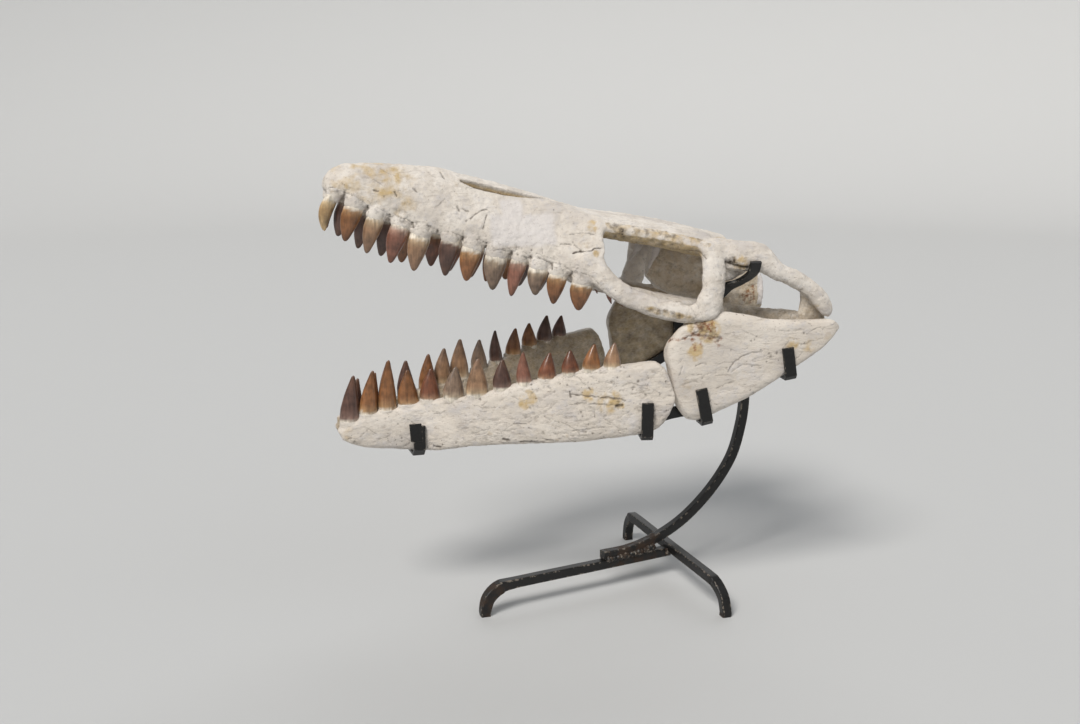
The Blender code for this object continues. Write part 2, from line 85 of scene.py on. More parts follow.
def closedCurve(points, count):
    # points spaced evenly round the smooth closed curve through a section's own points
    n = len(points)
    gaps = [(points[(i + 1) % n] - points[i]).length for i in range(n)]
    slopes = [(points[(i + 1) % n] - points[i - 1]) / (gaps[i] + gaps[i - 1]) for i in range(n)]
    total = sum(gaps)
    result = []
    i, start = 0, 0.0
    for k in range(count):
        s = total * k / count
        while s > start + gaps[i] and i < n - 1:
            start += gaps[i]
            i += 1
        t = (s - start) / gaps[i]
        a, b = points[i], points[(i + 1) % n]
        result.append(a * (1 + 2 * t) * (1 - t) ** 2 + b * t * t * (3 - 2 * t)
                      + (slopes[i] * (1 - t) - slopes[(i + 1) % n] * t) * (gaps[i] * t * (1 - t)))
    return result


def loftThrough(bm, rings):
    # each ring starts as a circle, takes its section's shape and is bridged to the last one
    loops = []
    for ring in rings:
        verts = bmesh.ops.create_circle(bm, segments=len(ring), radius=1.0)["verts"]
        for vert, place in zip(verts, ring):
            vert.co = place
        loops.append(list({edge for vert in verts for edge in vert.link_edges}))
    for near, far in zip(loops, loops[1:]):
        bmesh.ops.bridge_loops(bm, edges=near + far)
    bmesh.ops.contextual_create(bm, geom=loops[0])
    bmesh.ops.contextual_create(bm, geom=loops[-1])


def ringsAlong(path, count, section, wide=(0, 1, 0)):
    # section(t) gives (across, up) pairs, and across lies as near "wide" as it can
    wide = Vector(wide)
    rings = []
    for k in range(count):
        t = k / (count - 1)
        ahead = (pathPoint(path, min(t + 0.01, 1)) - pathPoint(path, max(t - 0.01, 0))).normalized()
        across = (wide - ahead * ahead.dot(wide)).normalized()
        up = ahead.cross(across)
        here = pathPoint(path, t)
        rings.append([here + across * a + up * b for a, b in section(t)])
    return rings


def ovalSection(halfAcross, halfUp, count=20, roundEnds=0.06):
    def section(t):
        end = min(t, 1 - t)
        close = sqrt(max(0.12, 1 - (1 - min(1.0, end / roundEnds)) ** 2))
        a = curveValue(halfAcross, t) * close
        b = curveValue(halfUp, t) * close
        return [(a * cos(2 * pi * i / count), b * sin(2 * pi * i / count)) for i in range(count)]
    return section


def barSection(width, thick, corner):
    # a rectangle with rounded corners: four points round each corner, then three along the flat
    corners = []
    for quarter, (x, y) in enumerate(((1, 1), (-1, 1), (-1, -1), (1, -1))):
        turns = [pi / 2 * (quarter + step / 3) for step in range(4)]
        corners.append([(x * (width / 2 - corner) + corner * cos(turn),
                         y * (thick / 2 - corner) + corner * sin(turn)) for turn in turns])
    outline = []
    for here, after in zip(corners, corners[1:] + corners[:1]):
        (x, y), (toX, toY) = here[-1], after[0]
        outline += here + [(x + (toX - x) * t, y + (toY - y) * t) for t in (0.1, 0.5, 0.9)]
    return outline


def clamp(value):
    return min(1.0, max(0.0, value))


def fade(value, start, end):
    # 1 before start, 0 after end, eased between
    t = clamp((value - start) / (end - start))
    return 1 - t * t * (3 - 2 * t)


def rough(place, size, octaves=3, seed=0.0):
    # fractal noise from about -1 to 1 whose largest lumps are about size across
    return noise.fractal(place / size + Vector((seed, seed * 1.7, seed * 0.3)), 0.9, 2.0, octaves)


def evenSteps(start, end, step):
    count = max(2, round((end - start) / step) + 1)
    return [start + (end - start) * k / (count - 1) for k in range(count)]


def evenSection(x, top, half, bottom, count, lean=0.0):
    # a section that is the same on both sides, from its (y, z) points down one side; lean slants it
    outline = [(0, top), *half, (0, bottom), *[(-y, z) for y, z in reversed(half)]]
    return closedCurve([Vector((x + lean * (z - bottom) / (top - bottom), y, z)) for y, z in outline], count)


def shrunk(ring, x, scale):
    middle = sum(ring, Vector()) / len(ring)
    return [Vector((x, middle.y + (p.y - middle.y) * scale, middle.z + (p.z - middle.z) * scale))
            for p in ring]


# materials

def hexColour(text):
    parts = [int(text[i:i + 2], 16) / 255 for i in (1, 3, 5)]
    return (*[c / 12.92 if c <= 0.04045 else ((c + 0.055) / 1.055) ** 2.4 for c in parts], 1.0)


def newMaterial(name):
    mat = bpy.data.materials.new(name)
    mat.use_nodes = True
    return mat, mat.node_tree.nodes["Principled BSDF"]


def join(mat, node, links):
    # links: input to (node, output), each by name or number
    for spot, (source, output) in links.items():
        mat.node_tree.links.new(source.outputs[output], node.inputs[spot])


def addNode(mat, kind, settings=None, links=None):
    # settings: attributes by name, inputs by number or as "in:Name"
    node = mat.node_tree.nodes.new("ShaderNode" + kind)
    for key, value in (settings or {}).items():
        if isinstance(key, int):
            node.inputs[key].default_value = value
        elif key.startswith("in:"):
            node.inputs[key[3:]].default_value = value
        else:
            setattr(node, key, value)
    join(mat, node, links or {})
    return node


# finishing a piece

def asObject(name, bm):
    bmesh.ops.recalc_face_normals(bm, faces=bm.faces)
    bmesh.ops.translate(bm, verts=bm.verts, vec=(middleX, 0, 0))
    bmesh.ops.scale(bm, verts=bm.verts, vec=(millimetre,) * 3)
    mesh = bpy.data.meshes.new(name)
    bm.to_mesh(mesh)
    bm.free()
    piece = bpy.data.objects.new(name, mesh)
    bpy.context.scene.collection.objects.link(piece)
    return piece


def toSkull(bm):
    # from the frame's metres back to the skull's millimetres
    bmesh.ops.scale(bm, verts=bm.verts, vec=(1 / millimetre,) * 3)
    bmesh.ops.translate(bm, verts=bm.verts, vec=(-middleX, 0, 0))


def fuse(bm, voxel):
    # one closed skin over all the shells of a bmesh, with even quads voxel millimetres wide
    piece = asObject("shells", bm)
    skin = piece.modifiers.new("fuse", "REMESH")
    skin.mode = "VOXEL"
    skin.voxel_size = voxel * millimetre
    graph = bpy.context.evaluated_depsgraph_get()
    fused = bpy.data.meshes.new_from_object(piece.evaluated_get(graph))
    bm = bmesh.new()
    bm.from_mesh(fused)
    toSkull(bm)
    shells = piece.data
    bpy.data.objects.remove(piece)
    bpy.data.meshes.remove(shells)
    bpy.data.meshes.remove(fused)
    return bm


def soften(bm, passes, verts=None):
    for _ in range(passes):
        bmesh.ops.smooth_vert(bm, verts=verts or bm.verts, factor=0.5, use_axis_x=True, use_axis_y=True,
                              use_axis_z=True)


def finishPiece(name, bm, mat, slot, *stoodFor, smooth=True):
    # the piece in its place, with its material, in place of the CAD nodes that it stands for
    piece = asObject(name, bm)
    piece.data.materials.append(mat)
    if smooth:
        piece.data.shade_smooth()
    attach(piece, "root")
    if stoodFor:
        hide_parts(*stoodFor)
    print(name, len(piece.data.polygons), "faces")
    return piece


# bone surfaces: what is carved into a fused skin, what stains it and the painted shade laid on it

class Surface:
    # the skin's points, with how far each moves along its normal and how much of each stain it holds; the
    # dirt and ochre stains also hold painted shade
    def __init__(self, bm):
        bm.normal_update()
        bm.verts.ensure_lookup_table()
        bm.faces.ensure_lookup_table()
        self.bm = bm
        self.count = len(bm.verts)
        self.near = KDTree(self.count)
        for vert in bm.verts:
            self.near.insert(vert.co, vert.index)
        self.near.balance()
        self.skin = BVHTree.FromBMesh(bm)
        self.lift = [0.0] * self.count
        self.stainsAndShade = {kind: [0.0] * self.count for kind in ("ochre", "dirt", "plaster", "rust")}

    def onSide(self, x, z, side):
        # the outermost point of the skin at x and z, seen from that side
        return self.skin.ray_cast(Vector((x, side * 400, z)), Vector((0, -side, 0)))[0]

    def carve(self, index, depth):
        self.lift[index] = min(self.lift[index], -depth)

    def stain(self, index, kind, amount):
        self.stainsAndShade[kind][index] = max(self.stainsAndShade[kind][index], amount)

    def soilAndShade(self, vert, kind, level, swing=0.0, size=9, octaves=3, seed=0.0, share=1.0):
        # a stain, or painted shade, that a noise of that size makes stronger and weaker
        if swing:
            level += swing * rough(vert.co, size, octaves, seed)
        self.stain(vert.index, kind, share * level)

    def stroke(self, points, width, depth, strength, kind="dirt"):
        # a groove along 3-D points: width across in mm, depth in mm; its darkening is dirt in cracks and
        # pits, and painted shade where it marks a hollow, notch or opening
        for a, b in zip(points, points[1:] or points):
            steps = max(1, int((b - a).length / (0.35 * width)))
            for k in range(steps + 1):
                here = a.lerp(b, k / steps)
                half = width / 2 * (1 + 0.6 * rough(here, 5, 2, 23.0))
                if len(points) > 1:
                    here.z += 1.2 * rough(here, 7, 2, 21.0)
                for co, index, gap in self.near.find_range(here, half):
                    share = 1 - (gap / half) ** 2
                    if kind == "rust":                     # rust spreads unevenly from its line
                        share *= max(0.0, 0.7 + 1.1 * rough(co, 5, 3, 27.0))
                    self.carve(index, depth * share)
                    self.stain(index, kind, strength * share)

    def strokeSide(self, line, side, *groove):
        # a groove along (x, z) points on the side that faces out
        hits = [self.onSide(x, z, side) for x, z in line]
        self.stroke([hit for hit in hits if hit], *groove)

    def blot(self, centre, reach, kind, strength, grain=9.0):
        # a stain, or a patch of painted shade, that fades outwards and is broken by noise
        for co, index, gap in self.near.find_range(centre, reach):
            share = fade(gap, 0.25 * reach, reach) * (0.75 + 0.9 * rough(co, grain, 3, 11.0))
            self.stain(index, kind, clamp(strength * share))

    def markSide(self, side, looks):
        # the grooves and blots of one side; the far side's aren't quite a mirror image
        shift = 0.0 if side < 0 else looks["farShift"]
        for line, *groove in looks["marks"]:
            self.strokeSide([(x + shift, z) for x, z in line], side, *groove)
        for (x, z), reach, kind, strength in looks["blots"]:
            hit = self.onSide(x + shift, z, side)
            if hit:
                self.blot(hit, reach, kind, strength, 6.0 if kind == "rust" else 9.0)

    def hairline(self, chance, start, heading, length, width, depth, strength, wander=0.35):
        # a crack that wanders over the skin in short steps
        points = [start]
        for _ in range(int(length / 2)):
            there, normal = self.skin.find_nearest(points[-1] + heading * 2)[:2]
            points.append(there)
            heading = heading - normal * heading.dot(normal)
            heading += normal.cross(heading) * chance.uniform(-wander, wander)
            if heading.length < 0.01:
                break
            heading.normalize()
        self.stroke(points, width, depth, strength)

    def age(self, seed, cracks, pits, along=None):
        # hairlines and pits scattered over the whole skin, the same each run
        chance = Random(seed)
        for _ in range(cracks):
            vert = self.bm.verts[chance.randrange(self.count)]
            heading = Vector((chance.uniform(-1, 1), chance.uniform(-1, 1), chance.uniform(-1, 1)))
            heading = Vector(along).lerp(heading, 0.25) if along else heading
            self.hairline(chance, vert.co.copy(), heading.normalized(), chance.uniform(8, 42),
                          chance.uniform(1.6, 2.6), chance.uniform(0.2, 0.6), chance.uniform(0.12, 0.5))
        for _ in range(pits):
            vert = self.bm.verts[chance.randrange(self.count)]
            if rough(vert.co, 40, 2, 17.0) > -0.1:
                size = chance.choice((1.8, 2.2, 2.8, 3.6))
                self.stroke([vert.co.copy()], size, chance.uniform(0.3, 0.9), chance.uniform(0.25, 0.85))

    def settle(self, relief):
        # moves the skin and paints its stains and painted shade; relief: (size, height, octaves, seed,
        # stretch) noises
        layer = self.bm.verts.layers.float_color.new("stain")
        ochre, dirt, plaster, rust = [self.stainsAndShade[kind] for kind in ("ochre", "dirt", "plaster", "rust")]
        moves = []
        for vert in self.bm.verts:
            i = vert.index
            p = vert.co
            swell = sum(height * rough(Vector((p.x * stretch, p.y, p.z)), size, octaves, seed)
                        for size, height, octaves, seed, stretch in relief)
            moves.append(vert.normal * (swell + self.lift[i]))
            # the skin is also darker where the relief sinks in
            vert[layer] = (ochre[i], min(1.0, dirt[i] + 0.12 * max(0.0, -swell)), plaster[i], rust[i])
        for vert, move in zip(self.bm.verts, moves):
            vert.co += move


boneColours = {
    "bone": "#d0c6b9",        # dry fossil bone
    "bonePale": "#e3dcd3",    # rubbed high places
    "boneCool": "#c4c0bf",    # greyer areas
    "shade": "#a6988a",       # wrinkles and the grain of the bone
    "plaster": "#d8d3d0",     # restored areas, smoother and cooler
    "ochre": "#c4a873",       # iron-rich clay left in the grain, and the brown of painted shade on undersides and inner faces
    "rust": "#8a5430",        # deeper iron stain
    "dirt": "#453a2f",        # dust held in pits and cracks, and painted shade on undersides, inner faces and in hollows
}
boneGrain = {"cloud": 42.0, "mottle": 10.0, "wrinkle": 4.2, "grain": 2.2, "pits": 5.0}      # millimetres


def makeBone(name, stretch, paleness):
    # fossil bone, cleaned with hand tools and patched with plaster: dry, chalky, finely pitted;
    # stretch draws the grain out along the jaw, paleness is how far the rubbed places show, and a lower
    # paleness is painted shade
    mat, shader = newMaterial(name)
    place = addNode(mat, "TexCoord")
    drawn = addNode(mat, "Mapping", {"in:Scale": (1 / stretch, 1.0, 1.0)}, {"Vector": (place, "Object")})
    pulled = addNode(mat, "Mapping", {"in:Scale": (0.32, 1.0, 1.0), "in:Rotation": (0, radians(9), 0)},
                     {"Vector": (drawn, 0)})
    noises = {}
    for kind, source, detail, roughness, distortion in (
            ("cloud", drawn, 6.0, 0.62, 0.0), ("mottle", drawn, 6.0, 0.7, 0.0),
            ("grain", drawn, 4.0, 0.6, 0.0), ("wrinkle", pulled, 5.0, 0.6, 0.6)):
        noises[kind] = addNode(mat, "TexNoise", {"in:Scale": 1000 / boneGrain[kind], "in:Detail": detail,
                                                 "in:Roughness": roughness, "in:Distortion": distortion},
                               {"Vector": (source, 0)})
    noises["pits"] = addNode(mat, "TexVoronoi", {"in:Scale": 1000 / boneGrain["pits"]},
                             {"Vector": (drawn, 0)})
    stain = addNode(mat, "VertexColor", {"layer_name": "stain"})
    marks = addNode(mat, "SeparateColor", {}, {"Color": (stain, "Color")})
    masks = {}
    for kind, source, low, high, top in (                  # each rises as its noise goes from low to high
            ("rubbed", "cloud", 0.38, 0.58, paleness), ("hollow", "cloud", 0.48, 0.34, 0.55),
            ("grey", "mottle", 0.52, 0.66, 0.6), ("crease", "wrinkle", 0.56, 0.74, 0.5),
            ("pit", "pits", 0.15, 0.05, 0.4), ("pitted", "cloud", 0.45, 0.6, 1.0),
            ("dust", "grain", 0.64, 0.8, 0.4)):
        masks[kind] = addNode(mat, "MapRange", {"in:From Min": low, "in:From Max": high, "in:To Max": top},
                              {"Value": (noises[source], 0)})
    for kind, source, output, grain, spread, low, high in (       # the stains and the painted shade in the dirt and ochre layers, their edges broken by a noise
            ("plaster", marks, "Blue", "mottle", 0.5, 0.2, 1.15),
            ("ochre", marks, "Red", "mottle", 1.3, 0.3, 1.25),
            ("rust", stain, "Alpha", "grain", 1.2, 0.12, 0.85),
            ("clay", marks, "Green", "grain", 0.6, 0.1, 0.95)):
        broken = addNode(mat, "Math", {"operation": "MULTIPLY_ADD", 1: spread},
                         {0: (noises[grain], 0), 2: (source, output)})
        band = {"in:From Min": low + 0.5 * spread, "in:From Max": high + 0.5 * spread}
        masks[kind] = addNode(mat, "MapRange", band, {"Value": (broken, 0)})
    for kind, operation, one, other in (
            ("speck", "MULTIPLY", "pit", "pitted"), ("speck", "MAXIMUM", "speck", "dust"),
            ("dirt", "MAXIMUM", "clay", "speck")):
        masks[kind] = addNode(mat, "Math", {"operation": operation},
                              {0: (masks[one], 0), 1: (masks[other], 0)})
    links = {}
    for kind, colour in (("rubbed", "bonePale"), ("hollow", "boneCool"), ("grey", "boneCool"),
                         ("crease", "shade"), ("plaster", "plaster"), ("ochre", "ochre"), ("rust", "rust"),
                         ("dirt", "dirt")):
        base = addNode(mat, "Mix", {"data_type": "RGBA", 6: hexColour(boneColours["bone"]),
                                    7: hexColour(boneColours[colour])}, {0: (masks[kind], 0), **links})
        links = {6: (base, 2)}                             # each colour lies over the ones before it
    height = noises["mottle"]
    for source, depth in ((noises["grain"], 0.5), (masks["speck"], -0.6), (masks["crease"], -0.7)):
        height = addNode(mat, "Math", {"operation": "MULTIPLY_ADD", 1: depth},
                         {0: (source, 0), 2: (height, 0)})
    bump = addNode(mat, "Bump", {"in:Strength": 0.65, "in:Distance": 0.002}, {"Height": (height, 0)})
    chalk = addNode(mat, "MapRange", {"in:To Min": 0.62, "in:To Max": 0.9}, {"Value": (noises["mottle"], 0)})
    join(mat, shader, {"Base Color": (base, 2), "Normal": (bump, 0), "Roughness": (chalk, 0)})
    shader.inputs["IOR"].default_value = 1.5
    return mat


skullBone = makeBone("fossilSkullBone", 1.0, 1.0)
# the jaw's bone is the skull's with less paleness: painted shade, darker lower down
jawBoneShaded = makeBone("fossilJawBone", 1.7, 0.6)


# upper skull

def skullTop(x):
    # height of the skull's upper edge
    return curveValue(((-317, 563), (-306, 575), (-287, 581), (-227, 579), (-179, 574), (-145, 566),
                       (-98, 553), (-38, 535), (14, 519), (79, 509), (148, 495), (214, 479)), x)


def upperRow(x):
    # how far the upper tooth row lies from the middle
    return curveValue(((-312, 13), (-286, 23), (-215, 33), (-150, 43), (-87, 58), (-12, 82), (14, 89)), x)


def upperGum(x):
    # height of the edge that the upper teeth stand in
    return curveValue(((-317, 551), (-300, 545), (-266, 526), (-205, 502), (-130, 480), (-60, 457),
                       (14, 427)), x)


def snoutSection(x):
    top, row, gum = skullTop(x), upperRow(x), upperGum(x)
    shoulder = curveValue(((-317, 6), (-290, 14), (-200, 15), (-120, 18), (-60, 38), (14, 80)), x)
    drop = curveValue(((-317, 4), (-290, 6), (-150, 6), (-60, 8), (14, 11)), x)
    swell = curveValue(((-317, 1), (-280, 5), (-100, 7), (14, 3)), x)
    palate = curveValue(((-317, 1), (-280, 5), (-150, 11), (14, 20)), x)
    edge = Vector((shoulder, top - drop))
    margin = Vector((row + curveValue(((-317, 3), (-290, 7), (14, 8)), x), gum + 10))
    cheeks = [tuple(edge.lerp(margin, t) + Vector((swell, 0))) for t in (0.3, 0.68)]
    half = [(0.5 * shoulder, top - 0.2 * drop), tuple(edge), *cheeks, tuple(margin), (row + 4, gum),
            (row - min(7, 0.5 * row), gum), (row - min(13, 0.75 * row), gum + 0.7 * palate)]
    return evenSection(x, top, half, gum + palate, 64)


def roofSection(x):
    top = skullTop(x)
    halfWidth = curveValue(((14, 82), (52, 93), (90, 104), (130, 118), (146, 123), (158, 112),
                            (170, 70), (184, 36), (214, 27)), x)
    drop = curveValue(((14, 11), (150, 14), (184, 8), (214, 8)), x)
    rim = curveValue(((14, 20), (150, 22), (184, 24), (214, 24)), x)
    under = curveValue(((14, 24), (100, 26), (184, 34), (214, 34)), x)
    half = [(0.5 * halfWidth, top - 0.22 * drop), (0.86 * halfWidth, top - 0.72 * drop),
            (halfWidth, top - drop - 3), (halfWidth - 1, top - drop - 0.55 * rim),
            (halfWidth - 15, top - drop - rim), (0.72 * halfWidth, top - under)]
    return evenSection(x, top, half, top - under, 56)


def braincaseSection(x):
    low = curveValue(((104, 428), (125, 408), (180, 391), (225, 378), (258, 377)), x)
    half = curveValue(((104, 8), (118, 20), (140, 30), (180, 38), (235, 44), (258, 40)), x)
    top = min(skullTop(x) - 14, curveValue(((200, 500), (235, 464), (258, 434)), x))
    mid = (top + low) / 2
    foot = curveValue(((180, 0.8), (230, 0.98)), x)          # the base spreads at the back
    ring = [(0.62 * half, top - 2), (half, mid + 0.25 * (top - low)), (1.04 * half, mid - 6),
            (foot * half, low + 7), (0.55 * foot * half, low)]
    lean = curveValue(((104, 14), (150, 0)), x)              # the front wall slopes back upwards
    return evenSection(x, top, ring, low, 40, lean)


# each upper tooth, snout to cheek: x at the gum, length below it, lean of the tip, half width,
# share of the root, tone
upperTeeth = (
    (-305, 44.5, 14.5, 9.0, 0.26, "cream"), (-282, 45, 14, 12.8, 0.19, "amber"),
    (-257, 47, 14, 11.6, 0.2, "tan"), (-228, 47.6, 15, 12.6, 0.16, "rose"),
    (-204, 49.6, 11, 13.4, 0.24, "tan"), (-169, 46, 8, 12.2, 0.16, "plum"),
    (-142, 45.3, 9.5, 13.4, 0.26, "amber"), (-113, 48, 7, 14.2, 0.28, "ash"),
    (-86, 47, 12, 10.8, 0.16, "rose"), (-63, 38.2, 6, 13.0, 0.28, "ash"),
    (-40, 40.3, 8, 12.5, 0.24, "amber"), (-12, 37, 6, 14.4, 0.24, "amber"))

# the bars round the eye and the temple: path, half thickness and half height along it, for side = 1
sideBars = {
    "jugal": ([(-18, 84, 468), (-2, 89, 453), (13, 95, 438.5), (32, 100, 422), (60, 109, 408),
               (91, 117, 399), (120, 124, 395), (152, 130, 400.5)],
              ((0, 9), (0.4, 8.5), (1, 10)),
              ((0, 20), (0.14, 18), (0.29, 14), (0.43, 12.7), (0.57, 12.3), (1, 12))),
    "postorbital": ([(150, 114, 480), (145, 124, 455), (143.5, 128, 428), (136.5, 129, 401)],
                    ((0, 12), (0.5, 9), (1, 9.5)), ((0, 24), (0.3, 16), (0.6, 15), (0.8, 17), (1, 20))),
    "arch": ([(138, 104, 478), (172, 122, 467), (204, 130, 462.5), (230, 134, 444.5), (255, 138, 433),
              (278, 141, 416.5), (291, 142.5, 402), (298.5, 143, 386)],
             ((0, 10), (0.3, 12), (0.8, 9), (1, 6)),
             ((0, 14), (0.143, 20), (0.26, 19), (0.39, 12), (0.48, 10.5), (0.7, 11.8), (0.86, 10.5), (1, 6))),
    "prong": ([(148, 116, 443), (168, 115, 441.5), (182, 113, 442), (197, 111, 443)],
              ((0, 9), (0.5, 5), (1, 2.4)), ((0, 10), (0.4, 8.8), (0.7, 5.4), (1, 2.2))),
    "quadrate": ([(275, 131, 424), (278, 130, 404), (280, 129, 388), (280, 128, 374)],
                 ((0, 6), (1, 6.5)), ((0, 12), (0.4, 16), (0.7, 20), (1, 22))),
    "wing": ([(-18, 44, 437), (40, 54, 420), (110, 52, 402), (185, 52, 386), (232, 74, 379), (280, 120, 379)],
             ((0, 20), (0.3, 24), (0.6, 13), (1, 8)), ((0, 6), (0.6, 9.5), (1, 12))),
    "rim": ([(249, 35, 436), (253.5, 40, 422), (254.5, 42, 406), (252, 42, 389)],
            ((0, 3), (1, 4)), ((0, 3), (0.5, 3.6), (1, 4))),
    "rod": ([(113, 29, 484), (107, 30, 463), (101, 32, 452), (95, 34, 441)],
            ((0, 4), (0.28, 5.6), (0.4, 4.8), (0.55, 3), (1, 2.2)),
            ((0, 4), (0.28, 5.6), (0.4, 4.8), (0.55, 3), (1, 2.2))),
}

# inner corners that fill out where bars meet: place for side = 1, reach, smoothing passes
corners = (
    ((18, 97, 452), 20, 26), ((20, 86, 498), 18, 20), ((124, 124, 412), 22, 34),
    ((132, 118, 462), 20, 26), ((160, 128, 410), 14, 12), ((262, 136, 416), 14, 16),
    ((259, 126, 394), 16, 26), ((165, 100, 480), 34, 26), ((200, 80, 470), 40, 10),
    ((236, 60, 395), 24, 14))

snout = {
    "farShift": 5.0,
    "marks": (                    # (x, z) points, width and depth in mm, darkness
        ([(-260.5, 550.1), (-255.8, 548.8)], 3.4, 0.9, 0.8),
        ([(-235.8, 547.2), (-233.9, 542.5)], 3.0, 1.0, 0.8),
        ([(-230.7, 549.4), (-228.3, 549.4)], 2.6, 0.8, 0.7),
        ([(-212.7, 551.3), (-208.3, 546.6)], 3.2, 0.9, 0.7), ([(-249.2, 542.3)], 3.0, 0.9, 0.7),
        ([(-160.6, 529.1), (-158.8, 523.8)], 3.4, 1.1, 0.8),
        ([(-153.5, 526), (-150.2, 523), (-147.7, 522.3)], 3.2, 1.0, 0.7),
        ([(-124.9, 517.7), (-127.9, 511.9), (-131.2, 501.9)], 2.4, 0.8, 0.75),
        ([(-145.8, 513.9), (-138.1, 519.4), (-128.4, 524), (-123.7, 524.7)], 2.4, 0.8, 0.65),
        ([(-92.6, 482.1), (-92.7, 476), (-94.4, 472.5)], 2.6, 0.9, 0.7),
        ([(-25.5, 471.2), (-15.7, 473.5), (-10.2, 474.2), (-4.1, 473.8), (1, 477.3), (8.6, 477.4)],
         2.8, 1.3, 1.0),
        ([(-39.2, 481.6), (-34.9, 482.2), (-26, 481.4)], 2.2, 0.8, 0.6),
        ([(-26.2, 493.6), (-14, 494.6), (-8.1, 495.1), (2.3, 493.5)], 2.2, 0.7, 0.5),
        ([(-230.2, 516.5), (-221.4, 513.7), (-211.9, 509.9)], 3.0, 1.2, 0.6),
        ([(-124.8, 474.3), (-116, 477.2), (-106.6, 475.4), (-100.5, 473.2)], 2.4, 0.9, 0.6),
        ([(-92, 469.5), (-77.1, 465.3), (-66.6, 465.7), (-55.3, 460.5)], 2.6, 1.1, 0.8),
        ([(-85.3, 505.2), (-78.4, 501.6)], 1.8, 0.4, 0.3),
        ([(-101.3, 494.8), (-97.8, 492.4)], 1.8, 0.4, 0.3),
        ([(-93.1, 490.4), (-76.5, 486.9)], 1.8, 0.4, 0.3),
        ([(-174.8, 568.9), (-173.3, 565.4), (-171.5, 561.9)], 3.2, 1.4, 0.7)),
    "blots": (                    # (x, z), reach, stain, strength
        ((-238, 566), 26, "ochre", 0.95), ((-246, 571), 14, "ochre", 0.8),
        ((-291, 558), 14, "ochre", 0.8), ((-262, 552), 24, "ochre", 0.45),
        ((-215, 556), 26, "ochre", 0.4), ((2, 503), 13, "ochre", 1.0), ((2, 471), 9, "ochre", 0.9),
        ((-10, 484), 24, "ochre", 0.4), ((-150, 552), 30, "ochre", 0.35), ((-310, 549), 12, "ochre", 0.35)),
    "relief": ((34, 1.0, 3, 1.0, 1.0), (9, 0.75, 3, 5.0, 1.0), (4, 0.3, 2, 7.0, 0.7)),
    "nostril": [(-149, 558.5), (-130, 552.5), (-110, 547), (-80, 541), (-60, 537.5), (-40, 534)],
    "nostrilHalf": ((0, 1.2), (0.2, 4.8), (0.5, 4.6), (0.8, 3.0), (1, 1.2)), "nostrilDepth": 6.0}

# stains on the braincase and the bars: place for side = 1, reach, stain, strength; the dark blot at (166,
# 130, 460) is painted shade in the hollow under the arch
barBlots = (((36, 88, 496), 9, "dirt", 0.7), ((166, 130, 460), 12, "dirt", 0.75),
            ((284, 142, 404), 12, "ochre", 0.7), ((178, 131, 458), 17, "ochre", 1.2),
            ((238, 42, 408), 11, "ochre", 1.3), ((262, 134, 424), 14, "dirt", 0.3))
# rust that has run down the sides of the braincase
braincaseStreaks = (((240, 414), (239, 402), (238, 391)), ((238.5, 411), (235, 403), (231, 397)),
                    ((237, 409), (226, 402)), ((241.5, 413), (242.5, 401), (243, 392)),
                    ((233, 404), (229, 394)))
frontCut, rearCut = 2.0, 128.0            # where the one skin is cut into three pieces


def upperRoot(x, side, length, lean):
    # where a tooth leaves the gum, and its tip
    base = Vector((x, side * (upperRow(x) + 1), upperGum(x) + 1))
    return base, base + Vector((-lean, side, -length - 2))


def skullShells():
    bm = bmesh.new()
    rings = [snoutSection(x) for x in evenSteps(-315, 14, 6)]
    loftThrough(bm, [shrunk(snoutSection(-315.5), -316.6, 0.6), *rings])
    for section, start, end, step, tip in ((roofSection, 8, 210, 5, 214),
                                           (braincaseSection, 105, 257, 6, 259)):
        rings = [section(x) for x in evenSteps(start, end, step)]
        loftThrough(bm, [*rings, shrunk(rings[-1], tip, 0.8)])
    condyle = bmesh.ops.create_uvsphere(bm, u_segments=24, v_segments=16, radius=12)["verts"]
    bmesh.ops.scale(bm, verts=condyle, vec=(0.75, 1.2, 0.85))
    bmesh.ops.translate(bm, verts=condyle, vec=(258, 0, 397))
    rootSwell = ((0, 0.72), (0.34, 0.97), (0.62, 1.03), (0.8, 0.97), (1, 0.7))
    for side in (-1, 1):
        for path, across, up in sideBars.values():
            path = [(x, side * y, z) for x, y, z in path]
            loftThrough(bm, ringsAlong(path, 44, ovalSection(across, up, 24)))
        for x, length, lean, half, share, _ in upperTeeth:           # the swollen root, grown into the jaw
            base, tip = upperRoot(x, side, length, lean)
            along = [base + Vector((2, -2 * side, 14)), base + Vector((0.4, 0, 4)),
                     base.lerp(tip, 0.35 * share), base.lerp(tip, share + 0.03)]
            oval = [[(t, width * size) for t, size in rootSwell]
                    for width in (min(9.6, 0.74 * half), half)]
            loftThrough(bm, ringsAlong(along, 16, ovalSection(*oval, 22, 0.1)))
    return bm


def carveNostril(surface, side):
    # a long trough with a hard lower edge and a stained floor
    path = [surface.onSide(x, z, side) for x, z in snout["nostril"]]
    steps = 140
    trough = set()
    for t in [k / steps for k in range(steps + 1)]:
        half = curveValue(snout["nostrilHalf"], t)
        here = pathPoint(path, t)
        for co, index, gap in surface.near.find_range(here, half + 2.2):
            share = fade(gap, 0.5 * half, half + 1.2)
            surface.carve(index, snout["nostrilDepth"] * share)
            surface.stain(index, "ochre", 1.1 * share)
            rim = fade(abs(gap - half), 0.3, 2.0) * (0.75 if co.z < here.z else 0.42)
            surface.stain(index, "dirt", max(0.12 * share, rim))
            trough.add(index)
    return trough


